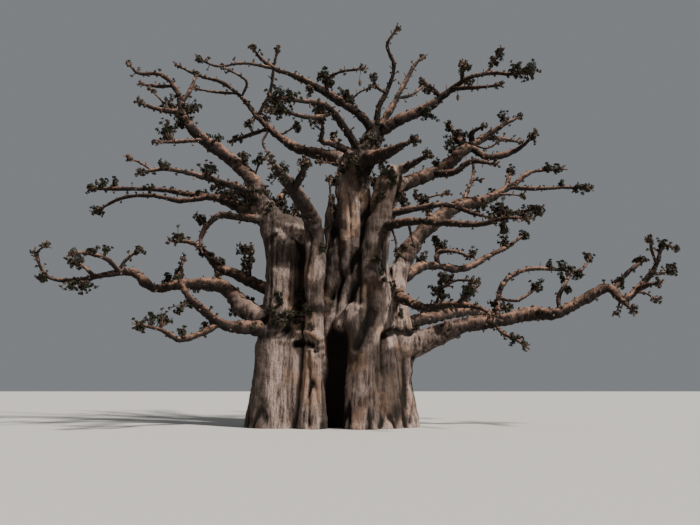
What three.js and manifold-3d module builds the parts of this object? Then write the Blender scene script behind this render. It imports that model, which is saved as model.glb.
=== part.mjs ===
// A wide old baobab with a clustered trunk, crooked tapering boughs and knobbly, nearly bare twigs.
// Every limb is given by a few way-points read in the upright plane through the trunk, as an eye in
// front of the tree sees them, and by how deep it lies behind (+) or in front of (-) that plane.
import * as THREE from "three";
import { mergeVertices } from "three/addons/utils/BufferGeometryUtils.js";
import Module from "manifold-3d";

const wasm = await Module();
wasm.setup();

// Driving dimensions, in metres. The readings reach 16.75 m high and 13 m to either side.
const MILLIMETRES = 1000;
const EYE_DISTANCE = 28;
const EYE_HEIGHT = 1.6;
const JOINT_GAP = 0.0003;
const AIR = 0.05;

// The root flare widens each stem's foot by this share and dies away over this height.
const FLARE = 0.1;
const FLARE_HEIGHT = 0.8;
const LOBES = 3;
const LOBE_DEPTH = 0.07;

// Twigs grow in a spiral along the limbs of a mass, and tufts of leaves stand at their tips.
const SHOOT_SPACING = 2.4;
const SHOOT_LENGTH = 0.5;
const SHOOT_RADIUS = 0.034;
const SHOOT_TIP_RADIUS = 0.022;
// How far a shoot leans along its limb and upward, and how far its tip bends up, for a length of 1.
const SHOOT_LEAN = 0.35;
const SHOOT_RISE = 0.3;
const TIP_BEND = [0.35, 0.3];
const LOWEST_TIP = 0.5;
const LEAF_LENGTH = 0.44;
const LEAF_WIDTH = 0.22;
const LEAF_THICKNESS = 0.014;
const LEAVES_AT_TIP = 2;
const LEAF_STAGGER = 0.05;
const LEAVES_ON_SHOOT = 2;
const LEAF_LEAN = 0.5;
const WIDEST_AT = 0.45;
// Edges shorter than this, in millimetres, are taken out of the joined solids.
const SLIVER = 0.5;
const GOLDEN_ANGLE = Math.PI * (3 - Math.sqrt(5));
const UP = new THREE.Vector3(0, 0, 1);

// Fruits hang on long stalks, which run a little way into them. The profile gives width, as a share of
// the radius, by how far down the fruit it lies, as a share of the length.
const FRUIT_LENGTH = 0.26;
const FRUIT_RADIUS = 0.065;
const FRUIT_SIDES = 5;
const FRUIT_PROFILE = [[0.04, 0.15], [0.3, 0.95], [0.65, 1], [0.96, 0.2]];
const STALK_LENGTH = 0.45;
const STALK_RADIUS = 0.014;
const STALK_SUNK = 0.03;

// Limbs are crooked: their middle way-points lie up to this far off the line of depths.
const CROOK = 0.22;

const SAMPLES = 12;
const FIRST_STEP = 0.25;
const COLUMN_SIDES = 10;
const BOUGH_SIDES = 8;
const BOUGH_STEP = 0.5;
const STEM_SIDES = 4;
const STEM_STEP = 1;
const TWIG_SIDES = 3;

// Columns of the trunk, each from a flat foot on the ground unless it is raised: way [x, z], girth as
// radii along it, depth behind the trunk's plane along it.
const columns = {
  left_column: {
    way: [[-2.85, 0], [-2.75, 2.8], [-2.65, 5], [-2.7, 7], [-3.2, 8.2], [-3.75, 9.1]],
    girth: [1.12, 1.0, 0.72, 0.68, 0.56, 0.42],
    depth: [-0.3],
  },
  narrow_column: {
    way: [[-1.5, 0], [-1.5, 2.8], [-1.42, 5], [-1.38, 6.5], [-1.4, 7.7]],
    girth: [0.62, 0.5, 0.48, 0.46, 0.38],
    depth: [-1.35, -1.25, -1.1],
  },
  main_column: {
    way: [[-0.35, 0], [-0.35, 2.6], [-0.1, 5], [0.1, 7], [0.2, 9], [0.25, 10.5], [0.75, 11.4], [1.15, 12.1]],
    girth: [1.5, 1.35, 1.15, 0.92, 0.66, 0.66, 0.5, 0.36],
    depth: [0.45, 0.2, 0, 0],
  },
  front_column: {
    way: [[0.5, 0], [0.5, 2.6], [0.5, 4.4], [0.65, 6.2]],
    girth: [0.78, 0.62, 0.55, 0.35],
    depth: [-1.25, -1.15, -0.7],
  },
  right_column: {
    way: [[1.25, 0], [1.1, 2.6], [0.95, 5], [0.95, 7], [1.3, 8.5], [1.6, 9.8], [1.8, 10.4]],
    girth: [1.0, 0.85, 0.68, 0.6, 0.56, 0.55, 0.38],
    depth: [-0.6, -0.6, -0.5, -0.6],
  },
  outer_column: {
    way: [[1.75, 0], [1.75, 2], [1.8, 3.5], [1.72, 5], [1.85, 6.1]],
    girth: [0.82, 0.76, 0.7, 0.56, 0.42],
    depth: [-0.2, 0.1, 0.3],
  },
  crossing_limb: {
    way: [[-1.2, 6.7], [-1.75, 7.55], [-2.4, 8.0], [-3.1, 8.2]],
    girth: [0.36, 0.4, 0.42, 0.3],
    depth: [-0.6],
    raised: true,
  },
  back_left_column: {
    way: [[-2.0, 0], [-2.0, 3], [-1.8, 4.8], [-2.0, 6]],
    girth: [1.15, 0.95, 0.7, 0.45],
    depth: [1.5, 1.5, 1.8],
  },
  back_column: {
    way: [[-0.2, 0], [-0.3, 3], [-0.2, 5.5], [-0.1, 7.6]],
    girth: [1.2, 1.0, 0.8, 0.5],
    depth: [1.7, 1.6, 1.9],
  },
  back_right_column: {
    way: [[1.3, 0], [1.3, 3], [1.35, 4.5], [1.7, 5.6]],
    girth: [1.05, 0.85, 0.68, 0.42],
    depth: [1.4, 1.4, 1.9],
  },
};

// Limbs, each borne by the column or limb named in `on`. The numbers in `ends` are the way-points
// where one bough ends and the next, or the mass of twigs, begins. An empty list is all twigs.
const limbs = {
  low_left: {
    on: "left_column",
    way: [[-2.8, 3.9], [-3.9, 4.35], [-5.2, 5.5], [-6.8, 5.6], [-7.9, 5.45], [-8.8, 6.1], [-9.9, 6.0],
      [-10.9, 5.8], [-12.2, 5.9], [-12.85, 6.9]],
    girth: [0.5, 0.44, 0.28, 0.21, 0.19, 0.17, 0.12, 0.1, 0.08, 0.05],
    depth: [-0.7, -1.2, -1.5],
    ends: [5],
  },
  low_left_crook: {
    on: "left_column",
    way: [[-2.8, 3.7], [-4.0, 3.85], [-5.0, 3.95], [-5.8, 4.5], [-6.5, 5.1], [-6.9, 5.9], [-6.8, 6.6]],
    girth: [0.36, 0.3, 0.22, 0.17, 0.13, 0.09, 0.05],
    depth: [-1.6, -3.2, -3.6, -3.8],
    ends: [2],
  },
  left_riser: {
    on: "left_column",
    way: [[-2.7, 5.1], [-3.6, 5.5], [-4.5, 5.95], [-5.3, 6.3], [-5.9, 6.9], [-6.4, 7.3], [-7.35, 7.4]],
    girth: [0.32, 0.25, 0.21, 0.19, 0.14, 0.1, 0.05],
    depth: [0.3, 0.5, 0.8],
    ends: [3],
  },
  left_tuft: {
    on: "left_riser",
    way: [[-4.1, 5.75], [-4.05, 6.4], [-4.0, 7.1]],
    girth: [0.12, 0.09, 0.06],
    depth: [-0.7],
    ends: [],
  },
  left_arch: {
    on: "left_column",
    way: [[-3.2, 8.2], [-4.6, 8.4], [-5.5, 8.4], [-6.05, 7.7], [-6.1, 7.15]],
    girth: [0.2, 0.16, 0.13, 0.1, 0.05],
    depth: [-2.0, -2.4],
    ends: [],
  },
  left_rear: {
    on: "left_column",
    way: [[-3.2, 8.3], [-4.3, 8.65], [-5.3, 9.15], [-6.3, 9.3], [-7.8, 9.55], [-9.8, 9.6], [-10.8, 9.6]],
    girth: [0.3, 0.25, 0.18, 0.13, 0.1, 0.08, 0.045],
    depth: [1.2, 2.4, 3.4],
    ends: [2],
  },
  left_fore: {
    on: "left_column",
    way: [[-3.5, 8.6], [-4.4, 9.55], [-5.3, 9.85], [-6.8, 10.3], [-7.7, 10.45], [-8.75, 10.3]],
    girth: [0.22, 0.17, 0.14, 0.1, 0.09, 0.05],
    depth: [-1.8, -4.2, -5.4, -6.0],
    ends: [],
  },
  left_high: {
    on: "left_column",
    way: [[-3.6, 8.9], [-4.0, 9.9], [-5.0, 10.9], [-6.0, 11.6], [-6.7, 12.3], [-7.1, 13.1], [-7.3, 13.8],
      [-8.0, 14.6], [-9.05, 14.7], [-9.4, 15.05]],
    girth: [0.42, 0.32, 0.26, 0.24, 0.2, 0.16, 0.12, 0.09, 0.07, 0.045],
    depth: [-0.6, -1.0, -1.2],
    ends: [4],
  },
  left_high_side: {
    on: "left_high",
    way: [[-6.1, 11.7], [-7.0, 11.65], [-8.15, 11.6]],
    girth: [0.1, 0.08, 0.05],
    depth: [-2.4],
    ends: [],
  },
  rear_left: {
    on: "main_column",
    way: [[0.2, 10.6], [-0.7, 10.95], [-2.2, 11.35], [-3.2, 12.05], [-3.9, 12.75], [-4.6, 13.6],
      [-5.4, 14.25], [-6.5, 14.6], [-7.45, 15.1]],
    girth: [0.36, 0.3, 0.2, 0.15, 0.12, 0.09, 0.08, 0.065, 0.045],
    depth: [1.6, 2.8, 3.6],
    ends: [3],
  },
  top_left: {
    on: "main_column",
    way: [[1.1, 12.0], [0.5, 12.75], [-0.6, 13.55], [-2.0, 14.4], [-3.3, 14.95], [-3.8, 15.35],
      [-4.15, 15.8]],
    girth: [0.24, 0.21, 0.19, 0.13, 0.1, 0.08, 0.045],
    depth: [-0.6, -1.4, -2.0],
    ends: [3],
  },
  top_left_side: {
    on: "top_left",
    way: [[-0.9, 13.75], [-1.0, 14.4], [-0.4, 14.75], [0.6, 14.9]],
    girth: [0.09, 0.07, 0.06, 0.045],
    depth: [-2.4, -3.0],
    ends: [],
  },
  fore_left: {
    on: "main_column",
    way: [[0.35, 11.2], [-0.4, 12.5], [-1.05, 13.25], [-2.1, 13.45], [-3.35, 13.6]],
    girth: [0.2, 0.17, 0.13, 0.09, 0.05],
    depth: [-2.2, -4.4, -6.0],
    ends: [],
  },
  hook: {
    on: "main_column",
    way: [[0.2, 11.0], [-0.6, 11.5], [-1.2, 11.7], [-1.15, 12.2], [-1.2, 12.65]],
    girth: [0.17, 0.14, 0.11, 0.09, 0.06],
    depth: [-1.2, -1.9, -2.1],
    ends: [],
  },
  fore: {
    on: "narrow_column",
    way: [[-1.4, 7.5], [-1.65, 8.5], [-2.3, 9.5], [-2.9, 10.3], [-3.3, 10.8]],
    girth: [0.38, 0.35, 0.27, 0.15, 0.06],
    depth: [-2.2, -4.6, -7.4],
    ends: [2],
  },
  leader: {
    on: "main_column",
    way: [[1.1, 12.0], [1.2, 13.1], [1.6, 13.95], [1.88, 15.0], [1.6, 16.0], [2.05, 16.75]],
    girth: [0.18, 0.13, 0.1, 0.09, 0.065, 0.045],
    depth: [-0.6, -1.2],
    ends: [],
  },
  rear_leader: {
    on: "main_column",
    way: [[1.1, 12.0], [1.75, 13.1], [2.3, 14.2], [2.8, 15.1], [3.15, 15.45]],
    girth: [0.18, 0.14, 0.1, 0.08, 0.045],
    depth: [1.0, 2.2],
    ends: [],
  },
  top_right: {
    on: "main_column",
    way: [[1.1, 12.0], [2.0, 12.55], [3.2, 13.1], [4.3, 13.95], [5.1, 14.5], [6.1, 14.7], [7.0, 14.65],
      [7.75, 14.9]],
    girth: [0.3, 0.24, 0.2, 0.14, 0.1, 0.08, 0.065, 0.045],
    depth: [-0.6, -1.4, -2.2],
    ends: [2],
  },
  right_stub: {
    on: "right_column",
    way: [[1.8, 10.2], [2.65, 10.7], [3.25, 11.05]],
    girth: [0.22, 0.15, 0.06],
    depth: [-1.6],
    ends: [],
  },
  fore_right: {
    on: "main_column",
    way: [[0.6, 10.7], [1.3, 11.05], [2.05, 11.4], [2.8, 11.75]],
    girth: [0.34, 0.26, 0.14, 0.05],
    depth: [-2.4, -5.8],
    ends: [],
  },
  right_high: {
    on: "right_column",
    way: [[1.7, 9.6], [2.7, 10.0], [3.9, 10.5], [4.7, 11.2], [5.6, 11.8], [6.5, 12.4], [7.2, 12.75]],
    girth: [0.34, 0.3, 0.27, 0.26, 0.15, 0.09, 0.045],
    depth: [0.4, 1.0, 1.6],
    ends: [3],
  },
  right_high_side: {
    on: "right_high",
    way: [[3.4, 10.3], [4.3, 10.3], [5.0, 10.75], [6.1, 10.65]],
    girth: [0.16, 0.14, 0.11, 0.05],
    depth: [-1.0, -1.6],
    ends: [],
  },
  right_rear: {
    on: "outer_column",
    way: [[1.8, 5.7], [2.4, 7.0], [3.2, 7.95], [4.4, 8.85], [5.5, 9.1], [6.75, 9.75], [7.5, 10.3],
      [8.85, 10.45]],
    girth: [0.42, 0.35, 0.31, 0.28, 0.21, 0.12, 0.08, 0.045],
    depth: [1.0, 2.4, 3.2],
    ends: [4],
  },
  right_crook: {
    on: "right_rear",
    way: [[4.6, 8.9], [4.85, 9.5], [5.1, 10.1], [5.15, 10.85]],
    girth: [0.1, 0.08, 0.07, 0.045],
    depth: [3.4, 3.8],
    ends: [],
  },
  right_inner: {
    on: "right_column",
    way: [[1.4, 8.5], [2.4, 8.7], [3.95, 8.9], [5.1, 8.55], [5.8, 8.35]],
    girth: [0.17, 0.14, 0.12, 0.09, 0.05],
    depth: [-1.2, -1.9],
    ends: [],
  },
  right_fore: {
    on: "right_column",
    way: [[1.2, 7.9], [2.4, 8.2], [3.85, 8.15], [5.35, 8.1], [6.45, 8.35], [7.3, 8.35]],
    girth: [0.22, 0.18, 0.15, 0.11, 0.08, 0.045],
    depth: [-3.2, -5.4, -6.6],
    ends: [2],
  },
  right_middle: {
    on: "outer_column",
    way: [[1.75, 5.6], [3.0, 6.35], [4.6, 6.25], [5.8, 6.85], [6.5, 7.2], [7.1, 7.65]],
    girth: [0.24, 0.19, 0.14, 0.1, 0.08, 0.045],
    depth: [2.6, 4.4, 5.4],
    ends: [],
  },
  right_low_fore: {
    on: "outer_column",
    way: [[1.72, 5.3], [2.25, 4.95], [3.1, 4.65], [4.15, 4.8], [5.2, 4.65], [5.8, 4.2]],
    girth: [0.26, 0.21, 0.17, 0.14, 0.1, 0.05],
    depth: [-2.4, -4.2, -5.4],
    ends: [3],
  },
  right_low_shoot: {
    on: "right_low_fore",
    way: [[3.4, 4.7], [3.65, 5.4], [3.7, 5.95]],
    girth: [0.09, 0.07, 0.045],
    depth: [-3.4],
    ends: [],
  },
  low_right: {
    on: "outer_column",
    way: [[1.8, 2.9], [3.0, 3.4], [4.6, 3.95], [5.8, 4.1], [7.2, 4.4], [8.3, 4.45], [9.45, 5.0], [10.4, 5.45],
      [10.95, 5.0], [11.7, 5.5], [12.4, 6.35], [12.8, 7.2], [13.25, 7.1]],
    girth: [0.7, 0.48, 0.35, 0.3, 0.27, 0.23, 0.2, 0.19, 0.16, 0.14, 0.1, 0.07, 0.05],
    depth: [-0.6, -1.2, -1.6, -2.0],
    ends: [4, 7],
  },
  low_right_arch: {
    on: "low_right",
    way: [[5.9, 4.1], [5.95, 4.9], [6.2, 5.65], [7.1, 6.2], [8.5, 6.2], [9.3, 6.15], [9.75, 6.7]],
    girth: [0.15, 0.12, 0.11, 0.09, 0.07, 0.06, 0.045],
    depth: [0.6, 1.6, 2.2],
    ends: [],
  },
  low_right_riser: {
    on: "low_right",
    way: [[8.35, 4.5], [8.4, 5.1], [8.65, 5.55], [8.9, 6.0]],
    girth: [0.1, 0.09, 0.075, 0.05],
    depth: [-1.2, -1.0],
    ends: [],
  },
  low_right_droop: {
    on: "low_right",
    way: [[5.7, 4.1], [6.15, 3.6], [6.6, 3.4], [6.95, 3.15]],
    girth: [0.09, 0.07, 0.06, 0.045],
    depth: [-2.6, -3.2],
    ends: [],
  },
  back_left: {
    on: "back_left_column",
    way: [[-1.95, 5.8], [-2.5, 7.2], [-2.85, 8.3], [-3.6, 9.2], [-4.2, 9.9]],
    girth: [0.4, 0.33, 0.25, 0.14, 0.05],
    depth: [3.4, 5.4, 7.2, 8.8],
    ends: [2],
  },
  back_top: {
    on: "back_column",
    way: [[-0.1, 7.4], [0.15, 9.0], [0.2, 10.2], [0.7, 11.0], [0.8, 11.6]],
    girth: [0.46, 0.36, 0.27, 0.15, 0.05],
    depth: [3.4, 5.4, 7.2, 8.9],
    ends: [2],
  },
  back_right: {
    on: "back_right_column",
    way: [[1.65, 5.4], [2.35, 6.9], [3.05, 7.85], [4.2, 8.65], [5.2, 9.1]],
    girth: [0.4, 0.32, 0.25, 0.14, 0.05],
    depth: [3.6, 5.4, 7.2, 8.9],
    ends: [2],
  },
  back_low_right: {
    on: "back_right_column",
    way: [[1.35, 3.9], [3.6, 4.35], [4.6, 4.5], [5.6, 4.45], [6.4, 4.7]],
    girth: [0.3, 0.24, 0.18, 0.12, 0.05],
    depth: [3.2, 4.8, 6.4, 7.2],
    ends: [2],
  },
  back_low_left: {
    on: "back_left_column",
    way: [[-1.9, 4.1], [-3.7, 4.5], [-4.8, 5.3], [-6.0, 5.5], [-7.0, 5.75]],
    girth: [0.32, 0.26, 0.18, 0.12, 0.05],
    depth: [3.4, 5.0, 6.8, 8.0],
    ends: [2],
  },
};

// Forks inside the masses of twigs: each is fused with the twigs of the limb that bears it.
const forks = [
  { on: "low_left", way: [[-9.3, 6.15], [-9.9, 6.65], [-10.9, 6.9], [-11.35, 6.8]], depth: [-2.8] },
  { on: "low_left", way: [[-9.4, 6.05], [-9.1, 6.6], [-8.6, 7.05]], depth: [-0.6] },
  { on: "low_left", way: [[-10.3, 5.95], [-10.9, 6.4], [-11.25, 6.5]], depth: [-0.6] },
  {
    on: "low_left_crook",
    way: [[-5.2, 4.1], [-5.9, 3.65], [-6.8, 3.4], [-7.5, 3.75], [-8.5, 4.0]],
    depth: [-4.6],
  },
  { on: "left_rear", way: [[-5.8, 9.25], [-7.0, 9.1], [-8.2, 9.3], [-9.4, 9.2], [-10.5, 8.6]], depth: [1.6] },
  { on: "left_fore", way: [[-8.2, 10.4], [-8.8, 10.75], [-9.2, 10.9]], depth: [-5.6] },
  { on: "left_high", way: [[-7.05, 13.0], [-8.0, 13.05], [-8.9, 13.35]], depth: [-2.4] },
  { on: "left_high", way: [[-7.15, 13.3], [-6.75, 14.0], [-6.55, 14.65]], depth: [0.2] },
  { on: "left_high", way: [[-7.5, 14.1], [-8.2, 14.1], [-8.9, 14.2]], depth: [0.2] },
  { on: "rear_left", way: [[-3.9, 12.75], [-3.4, 13.8], [-3.25, 15.0], [-3.1, 15.8]], depth: [1.2] },
  { on: "rear_left", way: [[-4.6, 13.6], [-4.4, 14.3], [-5.4, 14.95]], depth: [2.2] },
  { on: "rear_left", way: [[-4.8, 13.75], [-5.8, 13.85], [-6.65, 14.0]], depth: [4.4] },
  { on: "rear_left", way: [[-3.4, 12.2], [-4.3, 11.9], [-5.0, 11.6]], depth: [3.0] },
  { on: "top_left", way: [[-3.2, 14.9], [-4.6, 15.15], [-5.6, 15.0], [-6.5, 15.35]], depth: [-3.2] },
  { on: "fore_left", way: [[-0.8, 12.9], [-1.6, 12.7], [-2.9, 13.0], [-3.5, 13.1]], depth: [-6.4] },
  { on: "fore", way: [[-2.4, 9.6], [-2.0, 10.2], [-1.9, 10.75]], depth: [-6.6] },
  { on: "rear_leader", way: [[2.0, 13.6], [2.6, 13.7], [3.1, 14.1]], depth: [2.2] },
  { on: "leader", way: [[1.5, 13.8], [1.1, 14.1], [1.0, 14.5]], depth: [-2.0] },
  { on: "top_right", way: [[5.8, 14.65], [6.1, 15.1], [6.45, 15.7]], depth: [-1.2] },
  { on: "top_right", way: [[4.8, 14.3], [4.8, 14.7], [4.85, 15.15]], depth: [-2.6] },
  { on: "top_right", way: [[4.4, 14.0], [5.4, 14.05], [6.4, 14.15]], depth: [-3.0] },
  { on: "top_right", way: [[3.9, 13.6], [3.5, 14.0], [3.1, 14.3]], depth: [-0.4] },
  { on: "right_high", way: [[5.7, 11.85], [6.4, 11.75], [7.2, 11.6]], depth: [2.6] },
  { on: "right_high", way: [[5.1, 11.5], [5.1, 12.0], [5.6, 12.3]], depth: [0.2] },
  { on: "right_high", way: [[4.95, 11.4], [4.5, 11.8], [4.15, 12.4]], depth: [1.4] },
  { on: "right_high", way: [[5.0, 11.4], [5.8, 10.95], [7.0, 11.3], [7.75, 11.95]], depth: [-0.4] },
  { on: "right_rear", way: [[6.6, 9.65], [7.8, 9.6], [9.0, 9.65], [9.95, 9.6]], depth: [1.8] },
  { on: "right_rear", way: [[6.5, 9.6], [6.6, 10.1], [6.7, 10.5]], depth: [3.6] },
  { on: "right_fore", way: [[5.9, 8.2], [6.7, 8.6], [7.8, 8.7]], depth: [-5.2] },
  { on: "right_middle", way: [[3.5, 6.35], [3.6, 6.9], [4.3, 6.95], [4.9, 6.7]], depth: [2.4] },
  { on: "right_low_fore", way: [[4.3, 4.8], [4.7, 5.2], [5.0, 5.4]], depth: [-5.0] },
  { on: "right_low_shoot", way: [[3.65, 5.4], [4.3, 5.75], [5.1, 5.75]], depth: [-4.2] },
  { on: "low_right", way: [[10.6, 5.3], [11.2, 6.05], [11.95, 6.6]], depth: [-0.6] },
  { on: "low_right", way: [[10.9, 5.0], [11.15, 4.75], [11.35, 4.55]], depth: [-2.8] },
  { on: "low_right", way: [[11.6, 5.4], [12.1, 5.6], [12.5, 5.65]], depth: [-2.9] },
  { on: "low_right", way: [[12.2, 6.05], [12.6, 6.05], [13.05, 6.25]], depth: [-1.2] },
  { on: "low_right", way: [[12.4, 6.4], [12.3, 6.95], [12.25, 7.4]], depth: [-2.4] },
  { on: "low_right_arch", way: [[5.97, 5.0], [6.7, 4.95], [7.55, 5.45]], depth: [0.4] },
  { on: "back_left", way: [[-3.0, 8.45], [-2.9, 9.2], [-2.3, 9.7]], depth: [7.6] },
  { on: "back_top", way: [[0.25, 10.35], [-0.3, 11.1], [-0.7, 11.9]], depth: [8.0] },
  { on: "back_right", way: [[3.3, 8.0], [3.2, 8.7], [2.7, 9.3]], depth: [7.8] },
  { on: "back_low_right", way: [[4.8, 4.5], [4.6, 5.1], [4.9, 5.6]], depth: [6.6] },
  { on: "back_low_left", way: [[-5.0, 5.35], [-5.4, 6.1], [-5.2, 6.5]], depth: [6.8] },
];
const FORK_GIRTH = [0.75, 0.6];
const FORK_TIP = 0.045;

// Seeds of the spread of twigs, where a mass has another than the first.
const seeds = {
  back_left: 2,
  back_low_right: 4,
  back_top: 3,
  fore_right: 2,
  leader: 3,
  left_fore: 2,
  left_tuft: 4,
  low_left: 7,
  low_right: 2,
  right_fore: 2,
  right_low_shoot: 2,
  right_middle: 2,
  top_left: 2,
  top_right: 2,
};

// Fruits, by the limb whose twigs bear them and the reading of the point they hang from.
const fruits = [
  { on: "top_right", hangs: [4.7, 13.95] },
  { on: "top_right", hangs: [5.45, 14.5] },
  { on: "top_left_side", hangs: [0.4, 14.85] },
];

const barkMaterial = new THREE.MeshStandardMaterial({ color: 0x9c8a7e, roughness: 0.92, metalness: 0 });
const limbMaterial = new THREE.MeshStandardMaterial({ color: 0x7d6558, roughness: 0.94, metalness: 0 });
const twigMaterial = new THREE.MeshStandardMaterial({ color: 0x4d4a34, roughness: 0.95, metalness: 0 });

// A place read in the trunk's plane, moved along the line of sight to its depth.
function seen(x, z, depth) {
  const spread = 1 + depth / EYE_DISTANCE;
  return new THREE.Vector3(x * spread, depth, EYE_HEIGHT + (z - EYE_HEIGHT) * spread);
}

// The value of an evenly spaced list at a share from 0 to 1 of its length.
function along(list, share) {
  const place = share * (list.length - 1);
  const before = Math.min(Math.floor(place), list.length - 2);
  if (list.length === 1) {
    return list[0];
  }
  return THREE.MathUtils.lerp(list[before], list[before + 1], place - before);
}

function seeded(seed) {
  let state = seed;
  return () => {
    state = (state * 16807) % 2147483647;
    return state / 2147483647;
  };
}

// A limb's curve, with its radius and a steady sideways direction at close samples.
function trace(points, girth) {
  const curve = new THREE.CatmullRomCurve3(points, false, "centripetal");
  const last = points.length - 1;
  const samples = [];
  let across = new THREE.Vector3(0, 1, 0);
  for (let i = 0; i <= last * SAMPLES; i++) {
    const share = i / (last * SAMPLES);
    const direction = curve.getTangent(share);
    across = across.clone().addScaledVector(direction, -across.dot(direction)).normalize();
    const centre = curve.getPoint(share);
    samples.push({ u: i / SAMPLES, centre, direction, across, radius: along(girth, share) });
  }
  return { curve, last, samples, girth };
}

// One ring of points round a limb at u way-points from its root, moved along it by shift.
function ring(limb, u, sides, shift = 0) {
  const share = u / limb.last;
  const sample = limb.samples[Math.floor(u * SAMPLES)];
  const flat = limb.column && !limb.raised && u === 0;
  const direction = flat ? UP : limb.curve.getTangent(share);
  const centre = limb.curve.getPoint(share).addScaledVector(direction, shift);
  const across = sample.across.clone().addScaledVector(direction, -sample.across.dot(direction)).normalize();
  const other = direction.clone().cross(across);
  const points = [];
  for (let i = 0; i < sides; i++) {
    const angle = (2 * Math.PI * i) / sides;
    let radius = along(limb.girth, share);
    if (limb.column) {
      const flare = FLARE * Math.exp(-centre.z / FLARE_HEIGHT);
      radius *= 1 + flare + LOBE_DEPTH * Math.cos(LOBES * angle + limb.turn);
    }
    const point = centre.clone();
    point.addScaledVector(across, radius * Math.cos(angle));
    point.addScaledVector(other, radius * Math.sin(angle));
    points.push(point);
  }
  return points;
}

// A closed solid through rings of points, all with the same number of points.
function loft(rings) {
  const sides = rings[0].length;
  const positions = rings.flat().flatMap((point) => point.toArray().map((value) => value * MILLIMETRES));
  const faces = [];
  for (let level = 0; level < rings.length - 1; level++) {
    for (let i = 0; i < sides; i++) {
      const low = level * sides + i;
      const lowNext = level * sides + ((i + 1) % sides);
      faces.push(low, lowNext, lowNext + sides, low, lowNext + sides, low + sides);
    }
  }
  const top = (rings.length - 1) * sides;
  for (let i = 1; i < sides - 1; i++) {
    faces.push(0, i + 1, i, top, top + i, top + i + 1);
  }
  return solid(positions, faces);
}

function solid(positions, faces) {
  const geometry = new THREE.BufferGeometry();
  geometry.setAttribute("position", new THREE.Float32BufferAttribute(positions, 3));
  geometry.setIndex(faces);
  const merged = mergeVertices(geometry);
  return new wasm.Manifold(new wasm.Mesh({
    numProp: 3,
    vertProperties: new Float32Array(merged.attributes.position.array),
    triVerts: new Uint32Array(merged.index.array),
  }));
}

// The part of a limb between two places on it, given in way-points, with rings a step apart.
function portion(limb, from, to, sides, step) {
  const stops = [from];
  for (let u = step; u < limb.last; u += step) {
    if (u > from + FIRST_STEP && u < to - FIRST_STEP) {
      stops.push(u);
    }
  }
  stops.push(to);
  const gap = from === 0 ? 0 : JOINT_GAP;
  return loft(stops.map((u, i) => ring(limb, u, sides, i === 0 ? gap : 0)));
}

// The place on a limb nearest to a reading, compared in the plane the readings are made in.
function nearest(limb, [x, z]) {
  let best = limb.samples[0];
  let least = Infinity;
  for (const sample of limb.samples) {
    const spread = 1 + sample.centre.y / EYE_DISTANCE;
    const across = sample.centre.x / spread - x;
    const rise = (sample.centre.z - EYE_HEIGHT) / spread + EYE_HEIGHT - z;
    const distance = Math.hypot(across, rise);
    if (distance < least) {
      least = distance;
      best = sample;
    }
  }
  return best;
}

const traced = {};

for (const [name, column] of Object.entries(columns)) {
  const count = column.way.length - 1;
  const points = column.way.map(([x, z], i) => seen(x, z, along(column.depth, i / count)));
  if (!column.raised) {
    points[0].z = 0;
  }
  traced[name] = trace(points, column.girth);
  traced[name].column = true;
  traced[name].raised = column.raised;
  traced[name].turn = Object.keys(traced).length;
}

function traceLimb(name, { on, way, girth, depth, ends }) {
  const bearer = traced[on];
  const root = nearest(bearer, way[0]);
  const depths = [root.centre.y, ...depth];
  const order = Object.keys(traced).length;
  const points = way.map(([x, z], i) => {
    const crook = i > 1 && i < way.length - 1 ? CROOK * Math.sin(2.4 * i * i + order) : 0;
    return seen(x, z, along(depths, i / (way.length - 1)) + crook);
  });
  points[0] = root.centre.clone();
  const spreads = points.map((point) => 1 + point.y / EYE_DISTANCE);
  const radii = points.map((point, i) => along(girth, i / (way.length - 1)) * spreads[i]);
  radii[0] = Math.min(radii[0], root.radius * 0.9);
  const limb = trace(points, radii);
  limb.on = on;
  limb.rootAt = root.u;
  limb.ends = ends;
  traced[name] = limb;
  return limb;
}

for (const [name, limb] of Object.entries(limbs).sort(([, a], [, b]) => (a.on in limbs) - (b.on in limbs))) {
  traceLimb(name, limb);
}

forks.forEach((fork, i) => {
  const bearer = traced[fork.on];
  const root = nearest(bearer, fork.way[0]);
  const spread = 1 + root.centre.y / EYE_DISTANCE;
  const girth = [...FORK_GIRTH.map((share) => (root.radius / spread) * share), FORK_TIP];
  const limb = traceLimb(`fork_${i}`, { ...fork, girth });
  limb.fused = true;
});

// Whether two round places keep air between them.
function apart(a, b) {
  return a.centre.distanceTo(b.centre) > a.radius + b.radius + AIR;
}

function bearers(name) {
  return traced[name].on ? [traced[name].on, ...bearers(traced[name].on)] : [];
}

// A limb's own node starts where it has left its bearer, the trunk and its neighbours for good.
function leaves(name) {
  const limb = traced[name];
  let start = 0;
  for (const [otherName, other] of Object.entries(traced)) {
    if (otherName === name || bearers(otherName).includes(name)) {
      continue;
    }
    for (const sample of limb.samples) {
      if (sample.u >= start && other.samples.some((place) => !apart(sample, place))) {
        start = sample.u + 1 / SAMPLES;
        limb.blocker = otherName;
      }
    }
  }
  return start;
}

const nodes = { trunk: [] };
const places = [];

function fill(limb, node, from, to) {
  for (const sample of limb.samples) {
    if (sample.u >= from && sample.u <= to) {
      places.push({ centre: sample.centre, radius: sample.radius, node });
    }
  }
}

function nodeAt(name, u) {
  const limb = traced[name];
  if (limb.column) {
    return "trunk";
  }
  const piece = limb.pieces.find(({ to }) => u <= to);
  return piece.node;
}

for (const [name, limb] of Object.entries(traced)) {
  if (limb.column) {
    nodes.trunk.push(portion(limb, 0, limb.last, COLUMN_SIDES, BOUGH_STEP));
    fill(limb, "trunk", 0, limb.last);
  }
}

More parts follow.
